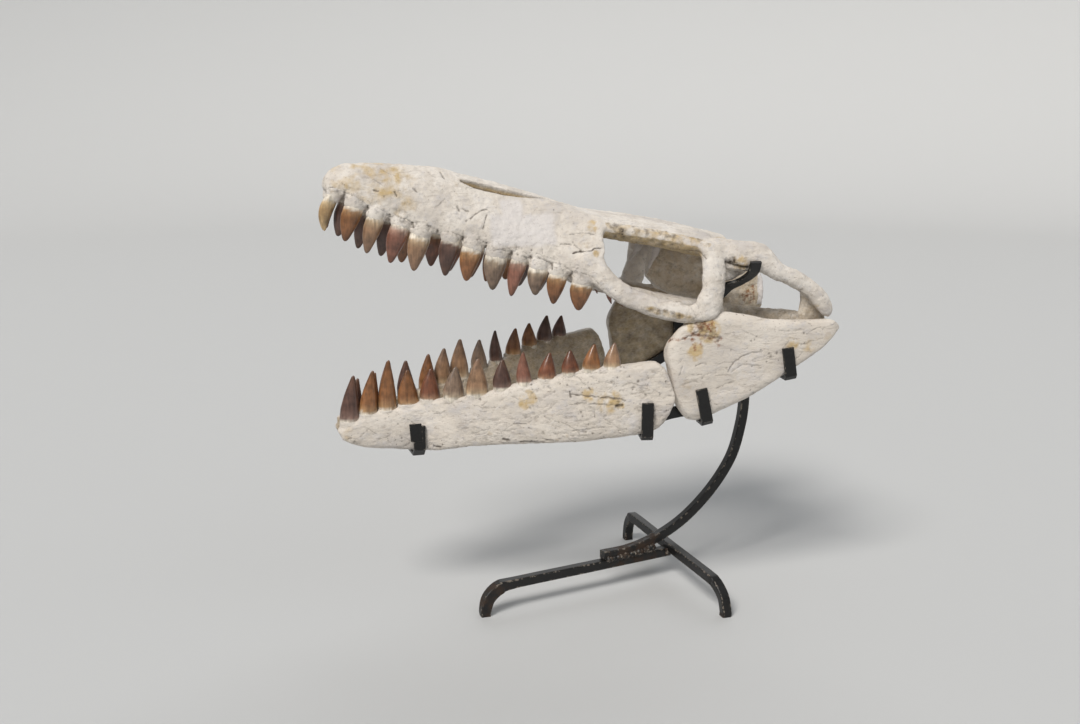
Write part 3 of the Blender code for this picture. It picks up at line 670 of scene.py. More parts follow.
def carveGums(surface, side):
    # the broken seam above each root, partly a dark joint and partly painted shade along the root's neck, and
    # the dark notch between one root and the next, which is painted shade
    for k, (x, _, _, half, _, _) in enumerate(upperTeeth):
        place = Vector((x, side * 20, 0))
        wave = 1.5 * rough(place, 9, 1, 6.0)
        hits = []
        for turn in [pi * j / 8 for j in range(9)]:
            px = x + half * cos(turn)
            hits.append(surface.onSide(px, upperGum(px) + 2 + wave + 0.45 * half * sin(turn), side))
        for start, end in zip(hits, hits[1:]):
            strength = 0.3 + 0.5 * rough(place + (start or end or Vector()), 6, 2, 4.0)
            if start and end and strength > 0.15:
                surface.stroke([start, end], width=2.4, depth=0.9, strength=strength)
        if k:
            before = upperTeeth[k - 1]
            x = (x - half + before[0] + before[3]) / 2
            surface.strokeSide([(x, upperGum(x) + up) for up in (4, 1.5, -1)], side, 4.0, 2.0, 0.75)


def paintSkullStainsAndShade(surface):
    # what lies on whole regions, point by point: stains and painted shade; the order counts, because the peg
    # is wiped clean
    soilAndShade = surface.soilAndShade
    for vert in surface.bm.verts:
        p, i, wide = vert.co, vert.index, abs(vert.co.y)
        outside = vert.normal.y * (1 if p.y > 0 else -1)
        if p.x < 14 and outside > 0:                          # plaster over the middle of the cheek
            edge = 1.6 * rough(p, 14, 2, 31.0)
            patch = max(fade(abs(p.x + 83 + edge), 36, 44) * fade(abs(p.z - 499 + edge), 15, 23),
                        fade(abs(p.x + 92 + edge), 10, 17) * fade(abs(p.z - 522 + edge), 10, 18))
            surface.stain(i, "plaster", patch)
            surface.stainsAndShade["dirt"][i] *= 1 - 0.7 * patch
        if p.x < -190 and outside > -0.2 and p.z > upperGum(p.x) + 6:       # clay over the tip of the snout
            soilAndShade(vert, "ochre", 0.42, 0.7, 20, 4, 13.0, fade(abs(p.x + 262), 34, 72))
        if p.x < 14 and abs(p.z - upperGum(p.x) - 7) < 9 and outside > 0:      # the roots are greyer
            soilAndShade(vert, "dirt", 0.1 if p.z < upperGum(p.x) + 3 else 0.0, 0.4, 4.5, 3, 14.0)
        if vert.normal.z < -0.35 and p.x > -300:              # painted shade: the undersides are browner and darker
            underShade = 0.3 * clamp((-vert.normal.z - 0.35) * 2.5)
            soilAndShade(vert, "dirt", underShade, 0.15, 14, 2, 3.0)
            soilAndShade(vert, "ochre", 1.2 * underShade)
        if 96 < p.x < 262 and wide < 50 and p.z < 478 and abs(outside) > 0.4:      # painted shade: the sides of the braincase are darker and browner
            soilAndShade(vert, "dirt", 0.1, 0.3, 7, 3, 8.0)
            soilAndShade(vert, "ochre", 0.62)
        if 255 < p.x < 300 and wide < 141 and p.z < 412 or 190 < p.x < 300 and wide < 131 and p.z < 404:
            # painted shade: the recessed web of the quadrate and the bar that runs to it are browner and
            # darker
            soilAndShade(vert, "dirt", 0.3, 0.2, 9, 2, 9.0)
            soilAndShade(vert, "ochre", 0.55)
        if (90 < p.x < 120 and 24 < wide < 42 and 436 < p.z < 472
                or 249 < p.x and 33 < wide < 48 and p.z > 388):
            # the peg in the eye socket and the rim of the braincase are pale plaster; on the peg this is also
            # painted light that lifts it out of the socket's shade
            surface.stainsAndShade["plaster"][i] = 1.6
            surface.stainsAndShade["dirt"][i] = surface.stainsAndShade["ochre"][i] = 0.0
        if 48 < p.x < 128 and wide > 92 and outside > -0.2:   # brown clay along the lower edge of the cheek's bar, darkened further with painted shade under the bar
            band = fade(abs(p.z - 401.5 + 0.24 * (p.x - 66)), 1.5, 7.5) * fade(abs(p.x - 88), 22, 40)
            soilAndShade(vert, "dirt", 0.35, 0.6, 6, 3, 12.0, band)
            soilAndShade(vert, "ochre", 0.8, 0.6, 8, 3, 16.0, band)
        if 16 < p.x < 142 and wide > 60 and 455 < p.z < skullTop(p.x) - 22 and vert.normal.z < 0.15:
            # painted shade: the brow is browner and darker under its outer edge
            under = clamp((0.15 - vert.normal.z) * 2.2)
            soilAndShade(vert, "dirt", 0.28, 0.3, 9, 3, 18.0, under)
            soilAndShade(vert, "ochre", 0.95, share=under)
        if 18 < p.x < 140 and wide > 78 and 478 < p.z and outside > 0.3:    # the brow's mottled outer face
            soilAndShade(vert, "dirt", 0.14, 0.6, 7, 3, 5.0)
            soilAndShade(vert, "ochre", 0.6, 0.5, 10, 3, 6.0)


def markBars(surface, side):
    for (x, y, z), reach, kind, strength in barBlots:
        surface.blot(Vector((x, side * y, z)), reach, kind, strength, 5.0)
    surface.hairline(Random(5), Vector((103, side * 103.6, 475)), Vector((1, 0, -0.1)), length=44,
                     width=2.4, depth=0.9, strength=0.6, wander=0.12)
    for width, depth, dark in ((9.0, 2.4, 0.5), (4.6, 3.0, 1.0)):    # painted shade in the hollow under the front of the arch, which is carved only shallow
        surface.strokeSide(((160, 458), (168, 455), (177, 452.5), (187, 451)), side, width, depth, dark)
    for line in braincaseStreaks:
        hits = [surface.skin.find_nearest(Vector((x, side * 47, z)))[0] for x, z in line]
        surface.stroke(hits, width=6.5, depth=0.3, strength=0.6, kind="rust")


def makeSkull():
    bm = fuse(skullShells(), skullVoxel)
    soften(bm, 3)
    for (x, y, z), reach, passes in corners:
        for side in (-1, 1):
            place = Vector((x, side * y, z))
            soften(bm, round(passes * (2.0 / skullVoxel) ** 1.5),
                   [vert for vert in bm.verts if (vert.co - place).length < reach])
    surface = Surface(bm)
    surface.age(21, cracks=200, pits=560)
    troughs = set()
    for side in (-1, 1):
        surface.markSide(side, snout)
        troughs |= carveNostril(surface, side)
        carveGums(surface, side)
    paintSkullStainsAndShade(surface)
    nape = [surface.skin.find_nearest(Vector((262, y, z)))[0] for y, z in ((-4, 419), (0, 421), (4, 419))]
    surface.stroke(nape, width=15.0, depth=9.0, strength=0.85)       # the opening for the spinal cord: a shallow dimple whose darkness is painted shade
    for side in (-1, 1):
        markBars(surface, side)
    surface.settle(snout["relief"])
    bm.verts.ensure_lookup_table()
    soften(bm, 3, [bm.verts[index] for index in troughs])
    both = {part: [part + "_" + name for name, _ in sides]
            for part in ("jugal", "pterygoid", "postorbital", "temporal_arch", "quadrate")}
    for name, low, high, stoodFor in (
            ("skullSnout", None, frontCut, ["snout"]),
            ("skullMiddle", frontCut, rearCut, [*both["jugal"], "skull_roof", *both["pterygoid"]]),
            ("skullRear", rearCut, None, ["braincase", *both["postorbital"], *both["temporal_arch"],
                                          *both["quadrate"]])):
        finishPiece(name, cutOut(bm, low, high), skullBone, "bone", *stoodFor)
    bm.free()


def cutOut(bm, low, high):
    # the stretch of a skin between two planes across X, closed flat at each
    part = bm.copy()
    for x, facing in ((low, -1), (high, 1)):
        if x is None:
            continue
        cut = bmesh.ops.bisect_plane(part, geom=part.verts[:] + part.edges[:] + part.faces[:], dist=0.0001,
                                     plane_co=(x, 0, 0), plane_no=(facing, 0, 0), clear_outer=True)
        rim = [piece for piece in cut["geom_cut"] if isinstance(piece, bmesh.types.BMEdge)]
        bmesh.ops.edgeloop_fill(part, edges=rim)
        for edge in rim:
            edge.smooth = False
    return part


makeSkull()
print("upper skull done")


# lower jaw

def lowerRow(x):
    # how far the lower tooth row lies from the middle
    return curveValue(((-311, 11), (-262, 13), (-217, 18), (-163, 40), (-82, 67), (-2, 99), (23, 107),
                       (92, 124)), x)


def lowerGum(x):
    # height of the edge that the lower teeth stand in
    return curveValue(((-311, 253), (-306, 258.5), (-296, 262), (-270, 271), (-240, 275), (-198, 286),
                       (-142, 293), (-95, 307), (-57, 315), (-22, 326), (50, 335), (70, 337), (82, 328),
                       (92, 304)), x)


def dentaryLow(x):
    # height of its lower edge
    return curveValue(((-311, 250), (-307, 239), (-269, 225), (-200, 219), (-144, 225), (-40, 231), (47, 242),
                       (72, 248), (83, 259), (92, 280)), x)


def dentaryHalf(x):
    # half its thickness
    return curveValue(((-311, 5), (-295, 10), (-100, 12), (92, 13)), x)


def lowerToothRow(x):
    # the same for the teeth, which stay clear of the middle of the chin
    return max(lowerRow(x), 10.5)


def dentarySection(x, side):
    row, top, low, out = lowerRow(x), lowerGum(x), dentaryLow(x), dentaryHalf(x)
    inn = min(out, row - 0.15)
    tall = top - low
    ring = [(row + 0.1 * out, top), (row + 0.75 * out, top - 4), (row + out, low + 0.66 * tall),
            (row + out, low + 0.3 * tall), (row + 0.72 * out, low + 0.07 * tall), (row, low),
            (row - 0.72 * inn, low + 0.07 * tall), (row - inn, low + 0.3 * tall),
            (row - inn, low + 0.66 * tall), (row - 0.7 * inn, top - 4)]
    return closedCurve([Vector((x, side * y, z)) for y, z in ring], 40)


# each lower tooth, chin to cheek: x, length, lean of the tip towards the throat, half width, tone
lowerTeeth = (
    (-295.8, 57.5, 6.5, 12.4, "plum"), (-272.5, 54, 7.5, 11.5, "amber"), (-247.5, 63, 2.5, 11.6, "amber"),
    (-221, 43.5, -1.0, 13.4, "amber"), (-195, 39, 1.5, 13.0, "russet"), (-168, 38.5, 3.5, 13.6, "ash"),
    (-139.5, 45.5, 1.5, 14.2, "tan"), (-109, 35, 0.0, 12.1, "plum"), (-83, 38, -1.7, 9.7, "rose"),
    (-57, 32, 4.0, 11.8, "russet"), (-29, 26.5, -1.0, 11.6, "russet"), (-5.5, 30, 4.0, 11.8, "amber"),
    (19, 29, 3.5, 11.1, "tan"))
dentary = {
    "farShift": -7.0,
    "marks": (
        ([(-31.3, 297.5), (-10.6, 295.4), (12.9, 293), (30.7, 290.5)], 2.8, 1.0, 0.8),
        ([(-28, 286.2), (1.2, 285.3), (27.2, 284.1)], 2.4, 0.8, 0.7),
        ([(20, 283), (27, 284)], 5.0, 1.4, 0.9), ([(-34, 300), (-33, 294)], 3.0, 1.0, 0.8),
        ([(-12, 306), (-10, 303)], 3.0, 1.0, 0.7), ([(-111.6, 237), (-104, 235)], 3.4, 1.0, 0.8),
        ([(-90.3, 233), (-78, 233), (-70, 234)], 3.6, 1.1, 0.8),
        ([(-60.1, 236), (-52, 236)], 3.4, 1.0, 0.7), ([(-193.7, 227), (-186, 226)], 4.4, 1.2, 0.9),
        ([(-100, 258), (-84, 258)], 2.2, 0.7, 0.6), ([(-30, 250), (-14, 252), (6, 256)], 2.2, 0.8, 0.6),
        ([(-50, 270), (-30, 273)], 1.8, 0.6, 0.4), ([(-300, 242), (-288, 240)], 2.2, 0.7, 0.5),
        ([(-6, 276), (-5, 268)], 2.2, 0.7, 0.5), ([(50, 262), (58, 264)], 2.0, 0.7, 0.5),
        ([(48, 306), (66, 304)], 2.0, 0.6, 0.4), ([(-160, 262), (-140, 264), (-118, 262)], 2.0, 0.6, 0.35)),
    "blots": (
        ((-82, 291), 16, "ochre", 1.6), ((-86, 284), 12, "ochre", 1.2), ((-300, 246), 18, "ochre", 0.5),
        ((-12, 297), 14, "ochre", 1.3), ((18, 293), 15, "ochre", 1.5), ((24, 284), 9, "ochre", 1.6),
        ((10, 289), 26, "ochre", 0.8), ((-240, 262), 30, "ochre", 0.25), ((-130, 244), 14, "ochre", 0.5),
        ((-40, 238), 18, "ochre", 0.4), ((-210, 250), 30, "plaster", 0.5),
        ((40, 260), 26, "plaster", 0.6), ((-150, 270), 24, "plaster", 0.5)),
    "relief": ((34, 0.8, 3, 2.0, 0.5), (8, 0.5, 3, 3.0, 0.6), (4, 0.25, 2, 7.0, 0.6))}


def shadeInside(surface, side, edge, level, swing, ochre):
    # painted shade: the inner face of the jaw, turned from the light, is made browner and darker
    for vert in surface.bm.verts:
        facing = vert.normal.y * side
        if facing < edge:
            inward = clamp(2.5 * (edge - facing))
            surface.soilAndShade(vert, "dirt", level, swing, 12, 3, 3.0, inward)
            surface.soilAndShade(vert, "ochre", ochre, share=inward)


def makeDentary(name, side):
    bm = bmesh.new()
    rings = [dentarySection(x, side) for x in evenSteps(-310.5, 91.5, 5)]
    loftThrough(bm, [shrunk(rings[0], -311, 0.8), *rings, shrunk(rings[-1], 92, 0.85)])
    for x, _, _, half, _ in lowerTeeth:                     # the rim of bone round each tooth
        y = lowerToothRow(x)
        wide = min(8.9, y - 0.4)
        socket = [(x, side * y, lowerGum(x) + up) for up in (-12, -2, 2.2)]
        oval = ovalSection(((0, wide - 1), (1, wide)), ((0, half), (1, half + 1)), 20, 0.2)
        loftThrough(bm, ringsAlong(socket, 8, oval))
    bm = fuse(bm, jawVoxel)
    soften(bm, 2)
    surface = Surface(bm)
    surface.age(31 + side, cracks=190, pits=560, along=(1, 0, 0.03))
    surface.markSide(side, dentary)
    for x, _, _, half, _ in lowerTeeth:                     # the ragged seam round each tooth
        y = lowerToothRow(x)
        wide = min(9, y - 0.4)
        seam = [Vector((x + 1.06 * half * cos(turn), side * (y + wide * sin(turn)), lowerGum(x) + 1.5))
                for turn in [pi * k / 8 for k in range(17)]]
        surface.stroke([surface.skin.find_nearest(p)[0] for p in seam], width=2.2, depth=0.6,
                       strength=0.3 + 0.25 * rough(Vector((x, side * 9, 0)), 11, 1, 2.0))
    shadeInside(surface, side, edge=-0.1, level=0.32, swing=0.2, ochre=0.7)
    for vert in bm.verts:                                     # the rear half is rough and open-grained
        if vert.normal.y * side >= -0.1 and vert.co.x > -170:
            grain = rough(Vector((vert.co.x * 0.5, vert.co.y, vert.co.z)), 5, 3, 15.0)
            surface.carve(vert.index, 1.2 * max(0, grain - 0.15))
            surface.stain(vert.index, "dirt", 0.6 * (grain - 0.2))
    surface.settle(dentary["relief"])
    finishPiece("dentaryBone_" + name, bm, jawBoneShaded, "bone", "dentary_" + name)


def rearJawLow(x):
    # height of its lower edge
    return curveValue(((86.5, 338), (91.5, 318), (94, 296), (104, 272), (116, 259), (129, 257), (146, 263),
                       (192, 283), (255, 321.5), (288, 343.5), (305, 361), (311.4, 369)), x)


def rearJawRow(x):
    # how far the plate lies from the middle
    return curveValue(((83, 116), (110, 120), (311.4, 146)), x)


def rearJawHalf(x):
    # half its thickness
    return curveValue(((83, 6), (100, 10.5), (250, 10), (300, 8), (311.4, 4)), x)


def rearJawSection(x, side):
    top = curveValue(((86.5, 352), (91, 362), (108, 381), (130, 391), (149, 397), (185, 393), (225, 384.5),
                      (299, 382.5), (307, 380), (311.4, 375)), x)
    low, row, half = rearJawLow(x), rearJawRow(x), rearJawHalf(x)
    tall = top - low
    outer = [(0, top), (0.8, top - 0.05 * tall - 1), (1, top - 0.25 * tall), (1, low + 0.25 * tall),
             (0.8, low + 0.05 * tall + 1), (0, low)]
    ring = outer + [(-across, z) for across, z in reversed(outer[1:-1])]
    return closedCurve([Vector((x, side * (row + across * half), z)) for across, z in ring], 44)


rearJaw = {
    "farShift": 4.0,
    "setBack": 10.0,              # how much further back the far plate starts
    "marks": (
        ([(91, 361.6), (101, 363.8), (112, 368), (118, 370.5)], 2.6, 1.0, 0.8),
        ([(117, 371), (132, 367.3), (146, 366), (152, 364.8), (148, 360)], 3.6, 0.9, 0.6),
        ([(118, 372), (126, 375.5), (143, 370.6), (152, 366.2)], 3.4, 0.8, 0.55),
        ([(121, 384), (131, 381)], 5.0, 0.7, 0.6),
        ([(162.9, 322), (169, 332), (179.2, 339.4), (193.4, 344), (206.5, 346.1)], 2.6, 0.8, 0.6),
        ([(166.8, 320.6), (178.3, 327.8), (191.3, 329.9), (204.6, 326.8)], 2.2, 0.7, 0.45),
        ([(150, 300), (160, 306), (172, 308)], 2.0, 0.6, 0.4),
        ([(120, 330), (128, 334), (134, 332)], 2.4, 0.8, 0.6),
        ([(222, 372), (240, 370), (262, 371)], 2.0, 0.6, 0.4), ([(100, 320), (104, 330)], 2.4, 0.8, 0.5),
        ([(180, 372), (200, 366)], 2.0, 0.6, 0.4),
        # rust that has run along the cracks
        ([(91, 361.6), (101, 363.8), (112, 368), (118, 370.5)], 7.0, 0.1, 0.8, "rust"),
        ([(116, 370), (117.5, 359), (120, 351)], 7.0, 0.1, 0.75, "rust"),
        ([(117, 371), (132, 367.3), (146, 366), (152, 364.8), (148, 360)], 9.0, 0.1, 0.6, "rust"),
        ([(124, 367), (127, 356)], 6.0, 0.1, 0.5, "rust"),
        ([(137, 388), (140, 381), (143, 376)], 9.0, 0.1, 0.9, "rust"),
        ([(131, 386), (134, 379), (140, 374)], 8.0, 0.1, 0.7, "rust"),
        ([(122, 384), (128, 378)], 8.0, 0.1, 0.6, "rust"),
        ([(150, 366), (149, 357), (150, 351)], 6.0, 0.1, 0.5, "rust")),
    "blots": (
        ((124, 380), 17, "dirt", 0.6), ((136, 372), 16, "dirt", 0.45), ((120, 384), 22, "ochre", 1.5),
        ((136, 374), 24, "ochre", 1.5), ((128, 382), 16, "rust", 0.45), ((121, 351), 13, "ochre", 2.2),
        ((118, 345), 16, "ochre", 0.9), ((246, 355), 17, "ochre", 0.9), ((270, 352), 20, "ochre", 0.6),
        ((292, 362), 16, "ochre", 0.35), ((190, 330), 40, "plaster", 0.7),
        ((110, 300), 26, "ochre", 0.35), ((160, 290), 22, "plaster", 0.6)),
    "relief": ((34, 0.7, 3, 6.0, 0.7), (8, 0.3, 3, 7.0, 0.6), (4, 0.15, 2, 7.0, 0.7))}


def makeRearJaw(name, side):
    bm = bmesh.new()
    places = [86.8, 87.4, 88.2, 89.2, *evenSteps(90.5, 302, 4), 305, 308, 310, 311]
    rings = [rearJawSection(x, side) for x in places]
    rings = [shrunk(rings[0], 86.4, 0.8), *rings, shrunk(rings[-1], 311.4, 0.8)]
    if side > 0:
        rings = [[point + Vector((rearJaw["setBack"] * fade(point.x, 86, 132), 0, 0)) for point in ring]
                 for ring in rings]
    loftThrough(bm, rings)
    bm = fuse(bm, jawVoxel)
    soften(bm, 2)
    surface = Surface(bm)
    surface.age(41 + side, cracks=70, pits=240, along=(0.9, 0, 0.3))
    surface.markSide(side, rearJaw)
    shadeInside(surface, side, edge=0.1, level=0.42, swing=0.25, ochre=0.8)
    surface.settle(rearJaw["relief"])
    finishPiece("rearJawBone_" + name, bm, jawBoneShaded, "bone", "rear_jaw_" + name)


for name, side in sides:
    makeDentary(name, side)
    makeRearJaw(name, side)
print("lower jaw done")


# teeth

toothTones = {      # where the crown begins, its middle, its tip
    "cream": ("#c6b08c", "#a98b63", "#bfa379"),
    "amber": ("#ab8861", "#845937", "#6f482a"),
    "tan": ("#b8a284", "#8f7056", "#785e4b"),
    "rose": ("#ac8c7a", "#815747", "#734c3b"),
    "russet": ("#9a785d", "#734732", "#5f3925"),
    "plum": ("#7f6559", "#573f36", "#53392b"),
    "ash": ("#a99882", "#806b5a", "#6f5d4e"),
}
rootColour = "#d9d0c1"


def makeEnamel():
    # tooth enamel over a bony root: the crown brown and glossy with fine ridges from base to
    # tip, the root chalky
    mat, shader = newMaterial("fossilToothEnamel")
    ridge = {"spacing": 2.4, "blotch": 9.0}                 # millimetres
    place = addNode(mat, "TexCoord")
    tone = addNode(mat, "VertexColor", {"layer_name": "tone"})
    streak = addNode(mat, "Mapping", {"in:Scale": (1.0, 1.0, 0.1)}, {"Vector": (place, "Object")})
    lines = addNode(mat, "TexNoise", {"in:Scale": 1000 / ridge["spacing"], "in:Detail": 3.0},
                    {"Vector": (streak, 0)})
    cloud = addNode(mat, "TexNoise", {"in:Scale": 1000 / ridge["blotch"], "in:Detail": 5.0},
                    {"Vector": (place, "Object")})
    both = addNode(mat, "Math", {"operation": "MULTIPLY_ADD", 1: 0.7}, {0: (lines, 0), 2: (cloud, 0)})
    shade = addNode(mat, "MapRange", {"in:From Min": 0.6, "in:From Max": 1.1, "in:To Min": 0.55,
                                      "in:To Max": 1.4}, {"Value": (both, 0)})
    tinted = addNode(mat, "VectorMath", {"operation": "SCALE"}, {0: (tone, "Color"), "Scale": (shade, 0)})
    gloss = addNode(mat, "MapRange", {"in:To Min": 0.75, "in:To Max": 0.3}, {"Value": (tone, "Alpha")})
    bump = addNode(mat, "Bump", {"in:Strength": 0.3, "in:Distance": 0.0007}, {"Height": (both, 0)})
    join(mat, shader, {"Base Color": (tinted, 0), "Roughness": (gloss, 0), "Normal": (bump, 0)})
    shader.inputs["IOR"].default_value = 1.6
    return mat


enamel = makeEnamel()


def addTooth(bm, tone, base, tip, halfLong, halfWide, bow, shape, colour, rootShare, chance, sideCount=28):
    # a curved cone from inside its socket to a blunt tip; bow bends its front outwards
    base, tip = Vector(base), Vector(tip)
    axis = tip - base
    twist = chance.uniform(0, 6)
    rings = []
    evenly = [k / 16 for k in range(1, 15)]
    for t in [-0.12, -0.04, 0.0, 0.04, *evenly, 0.91, 0.945, 0.97, 0.985, 0.995, 1.0]:
        size = curveValue(shape, t)
        centre = base + axis * t - Vector((bow, 0, 0)) * (4 * t * (1 - t) if t > 0 else 0)
        ring = []
        for turn in [2 * pi * i / sideCount for i in range(sideCount)]:
            flute = 1 + 0.018 * cos(9 * turn + twist) * max(0.0, t - 0.2) * (1.2 - t) * 4
            keel = 1 + 0.07 * max(0.0, cos(2 * turn)) ** 6 * (t if t > 0.25 else 0)       # cutting edges
            lump = 1 + 0.03 * rough(Vector((cos(turn), sin(turn), 3 * t)) * 4 + base, 9, 2, 1.0)
            ring.append(centre + Vector((halfLong * size * cos(turn) * flute * keel * lump,
                                         halfWide * size * sin(turn) * flute * lump, 0)))
        rings.append(ring)
    start = len(bm.verts)
    loftThrough(bm, rings)
    bm.verts.ensure_lookup_table()
    gumTone, middleTone, tipTone, white = [Vector(hexColour(text)[:3])
                                           for text in (*toothTones[colour], rootColour)]
    shade = chance.uniform(0.9, 1.1)
    for vert in bm.verts[start:]:
        t = (vert.co - base).dot(axis) / axis.length_squared
        ragged = 0.05 * rough(vert.co, 5, 2, 3.0) + 0.035 * rough(vert.co, 14, 1, 9.0)
        mixed = gumTone.lerp(middleTone, clamp((t - rootShare) / 0.22))
        mixed = mixed.lerp(tipTone, clamp((t - 0.6) / 0.35))
        crown = 1 - fade(t + ragged, rootShare - 0.03, rootShare + 0.04)
        vert[tone] = (*white.lerp(mixed * shade, crown), crown)


# size of a crown's section along it
upperShape = ((-0.12, 0.7), (0.0, 0.86), (0.12, 0.97), (0.3, 1.0), (0.48, 0.9), (0.64, 0.74), (0.84, 0.45),
              (0.94, 0.28), (0.98, 0.17), (1.0, 0.03))
lowerShape = ((-0.12, 0.86), (0.0, 0.96), (0.12, 1.0), (0.28, 0.96), (0.5, 0.77), (0.7, 0.54), (0.86, 0.32),
              (0.95, 0.2), (0.985, 0.13), (1.0, 0.03))
# the far rows aren't quite the near ones: how far along and how much longer, by x, and their tones, chosen
# darker as painted shade for the rows that lie in shadow
farRow = {
    "shift": ((-296, 9), (-272, 7), (-247, 4.2), (-221, 5), (-195, 8), (-168, 3), (-139, 0.5)),
    "longer": ((-290, -9), (-240, -6), (-221, 5), (-168, 9), (-100, 4), (0, 4), (20, -1)),
    "upperTones": ("amber", "plum", "russet", "plum"),
    "lowerTones": ("plum", "amber", "russet", "plum", "amber", "tan", "tan", "ash", "plum", "amber", "amber",
                   "plum", "plum")}


def upperSide(bm, tone, chance, side):
    for x, length, lean, half, share, colour in upperTeeth:
        base, tip = upperRoot(x, side, length, lean)
        if side > 0:
            tip += Vector((chance.uniform(-1, 1), 0, chance.uniform(-1, 2)))
            if x < -300:
                base.x += 7
                tip.x += 8
            # a darker tone on the far side: painted shade
            colour = chance.choice(farRow["upperTones"])
        bow = 5.0 if x < -300 else 0.8
        addTooth(bm, tone, base, tip, half, min(9.2, 0.72 * half), bow, upperShape, colour, share, chance)


def lowerSide(bm, tone, chance, side):
    for (x, length, lean, half, colour), farTone in zip(lowerTeeth, farRow["lowerTones"]):
        y = lowerToothRow(x)
        z = lowerGum(x) - 3
        if side > 0:
            length += curveValue(farRow["longer"], x)
            x += curveValue(farRow["shift"], x)
            half *= 0.93
            # a darker tone on the far side: painted shade
            colour = farTone
        addTooth(bm, tone, (x, side * y, z), (x + lean, side * y, z + 3 + length), half,
                 min(8.6, y - 1.6), 1.2, lowerShape, colour, 0.07, chance)


def palateSide(bm, tone, chance, side):
    for x in (28, 43, 58, 73, 88):
        level = curveValue(((20, 420), (60, 409), (100, 399)), x)
        addTooth(bm, tone, (x, side * 66, level + 3), (x + 4, side * 67, level - 15), 4, 3.5, 1, lowerShape,
                 "rose", 0.2, chance, sideCount=14)


for name, seed, addSide in (("upperTeeth", 7, upperSide), ("lowerTeeth", 8, lowerSide),
                            ("palateTeeth", 9, palateSide)):
    bm = bmesh.new()
    tone = bm.verts.layers.float_color.new("tone")
    chance = Random(seed)
    for side in (-1, 1):
        addSide(bm, tone, chance, side)
    finishPiece(name, bm, enamel, "bone")
print("teeth done")


# stand

ironColours = {"paint": "#0a0908", "chip": "#756d63", "rust": "#33251a"}
ironGrain = {"blotch": 15.0, "brush": 3.0, "chips": 5.0}        # millimetres


def makeIron():
    # square and flat iron bar, brushed with black paint: semi-gloss, chipped at its edges and
    # rusting through, most of all at the feet and the welds
    mat, shader = newMaterial("paintedIronBar")
    place = addNode(mat, "TexCoord")
    wear = addNode(mat, "VertexColor", {"layer_name": "wear"})
    held = addNode(mat, "SeparateColor", {}, {"Color": (wear, "Color")})
    blotch, brush, chips = [
        addNode(mat, "TexNoise", {"in:Scale": 1000 / size, "in:Detail": 6.0, "in:Roughness": 0.65},
                {"Vector": (place, "Object")}) for size in ironGrain.values()]
    masks = []
    for output, grain, share, low, high in (("Green", blotch, 0.3, 0.7, 0.86),
                                            ("Red", chips, 0.17, 0.7, 0.75)):
        mixed = addNode(mat, "Math", {"operation": "MULTIPLY_ADD", 1: share},
                        {0: (held, output), 2: (grain, 0)})
        masks.append(addNode(mat, "MapRange", {"in:From Min": low, "in:From Max": high},
                             {"Value": (mixed, 0)}))
    rust, chip = masks
    colour = addNode(mat, "Mix", {"data_type": "RGBA", 6: hexColour(ironColours["paint"]),
                                  7: hexColour(ironColours["rust"])}, {0: (rust, 0)})
    colour = addNode(mat, "Mix", {"data_type": "RGBA", 7: hexColour(ironColours["chip"])},
                     {0: (chip, 0), 6: (colour, 2)})
    dull = addNode(mat, "Math", {"operation": "MAXIMUM"}, {0: (rust, 0), 1: (chip, 0)})
    gloss = addNode(mat, "MapRange", {"in:To Min": 0.42, "in:To Max": 0.82}, {"Value": (dull, 0)})
    height = addNode(mat, "Math", {"operation": "MULTIPLY_ADD", 1: 0.4}, {0: (rust, 0), 2: (brush, 0)})
    bump = addNode(mat, "Bump", {"in:Strength": 0.5, "in:Distance": 0.0006}, {"Height": (height, 0)})
    join(mat, shader, {"Base Color": (colour, 2), "Roughness": (gloss, 0), "Normal": (bump, 0)})
    return mat


def makeSteel():
    # turned steel rivet, worn bright
    mat, shader = newMaterial("wornSteelRivet")
    shader.inputs["Base Color"].default_value = hexColour("#a9a39a")
    shader.inputs["Metallic"].default_value = 1.0
    place = addNode(mat, "TexCoord")
    scuffSize = 1.11                                        # millimetres
    scuff = addNode(mat, "TexNoise", {"in:Scale": 1000 / scuffSize, "in:Detail": 3.0},
                    {"Vector": (place, "Object")})
    gloss = addNode(mat, "MapRange", {"in:To Min": 0.25, "in:To Max": 0.6}, {"Value": (scuff, 0)})
    join(mat, shader, {"Roughness": (gloss, 0)})
    return mat


iron = makeIron()
steel = makeSteel()
stand = {"bar": 12.5, "barCorner": 1.6, "stripWidth": 15.0, "stripThick": 4.5, "stripCorner": 0.8,
         "eased": 0.7, "hookX": 191}                            # millimetres
standYaw = radians(11.8)
crossbarX = 148.0


def standPlane(x, z):
    return (x, (x - crossbarX) * tan(standYaw), z)


def rustAt(p):
    # how far rust has come through at a place: the weld, the feet and the front bend most
    weld = fade((p - Vector(standPlane(88, 46))).length, 24, 62)
    bend = fade((p - Vector(standPlane(-128, 16))).length, 20, 46)
    foot = 0.7 * fade(p.z, 4, 26)
    return max(weld, bend, foot, 0.2)


def ironBar(name, stoodFor, path, count, outline, wide, thicken=((0, 1), (1, 1))):
    bm = bmesh.new()
    wear = bm.verts.layers.float_color.new("wear")
    loftThrough(bm, ringsAlong(path, count, lambda t: [
        (a * curveValue(thicken, t), b * curveValue(thicken, t)) for a, b in outline], wide))
    bm.verts.ensure_lookup_table()
    for k, vert in enumerate(bm.verts):
        if vert.co.z < 0.8:                                 # a foot is cut level with the floor
            vert.co.z = 0.0
        vert[wear] = (1.0 if k % 7 < 4 else 0.0, rustAt(vert.co), 0, 1)    # four points in seven are a corner
    piece = finishPiece(name, bm, iron, "painted_iron", stoodFor)
    piece.data.set_sharp_from_angle(angle=radians(40))


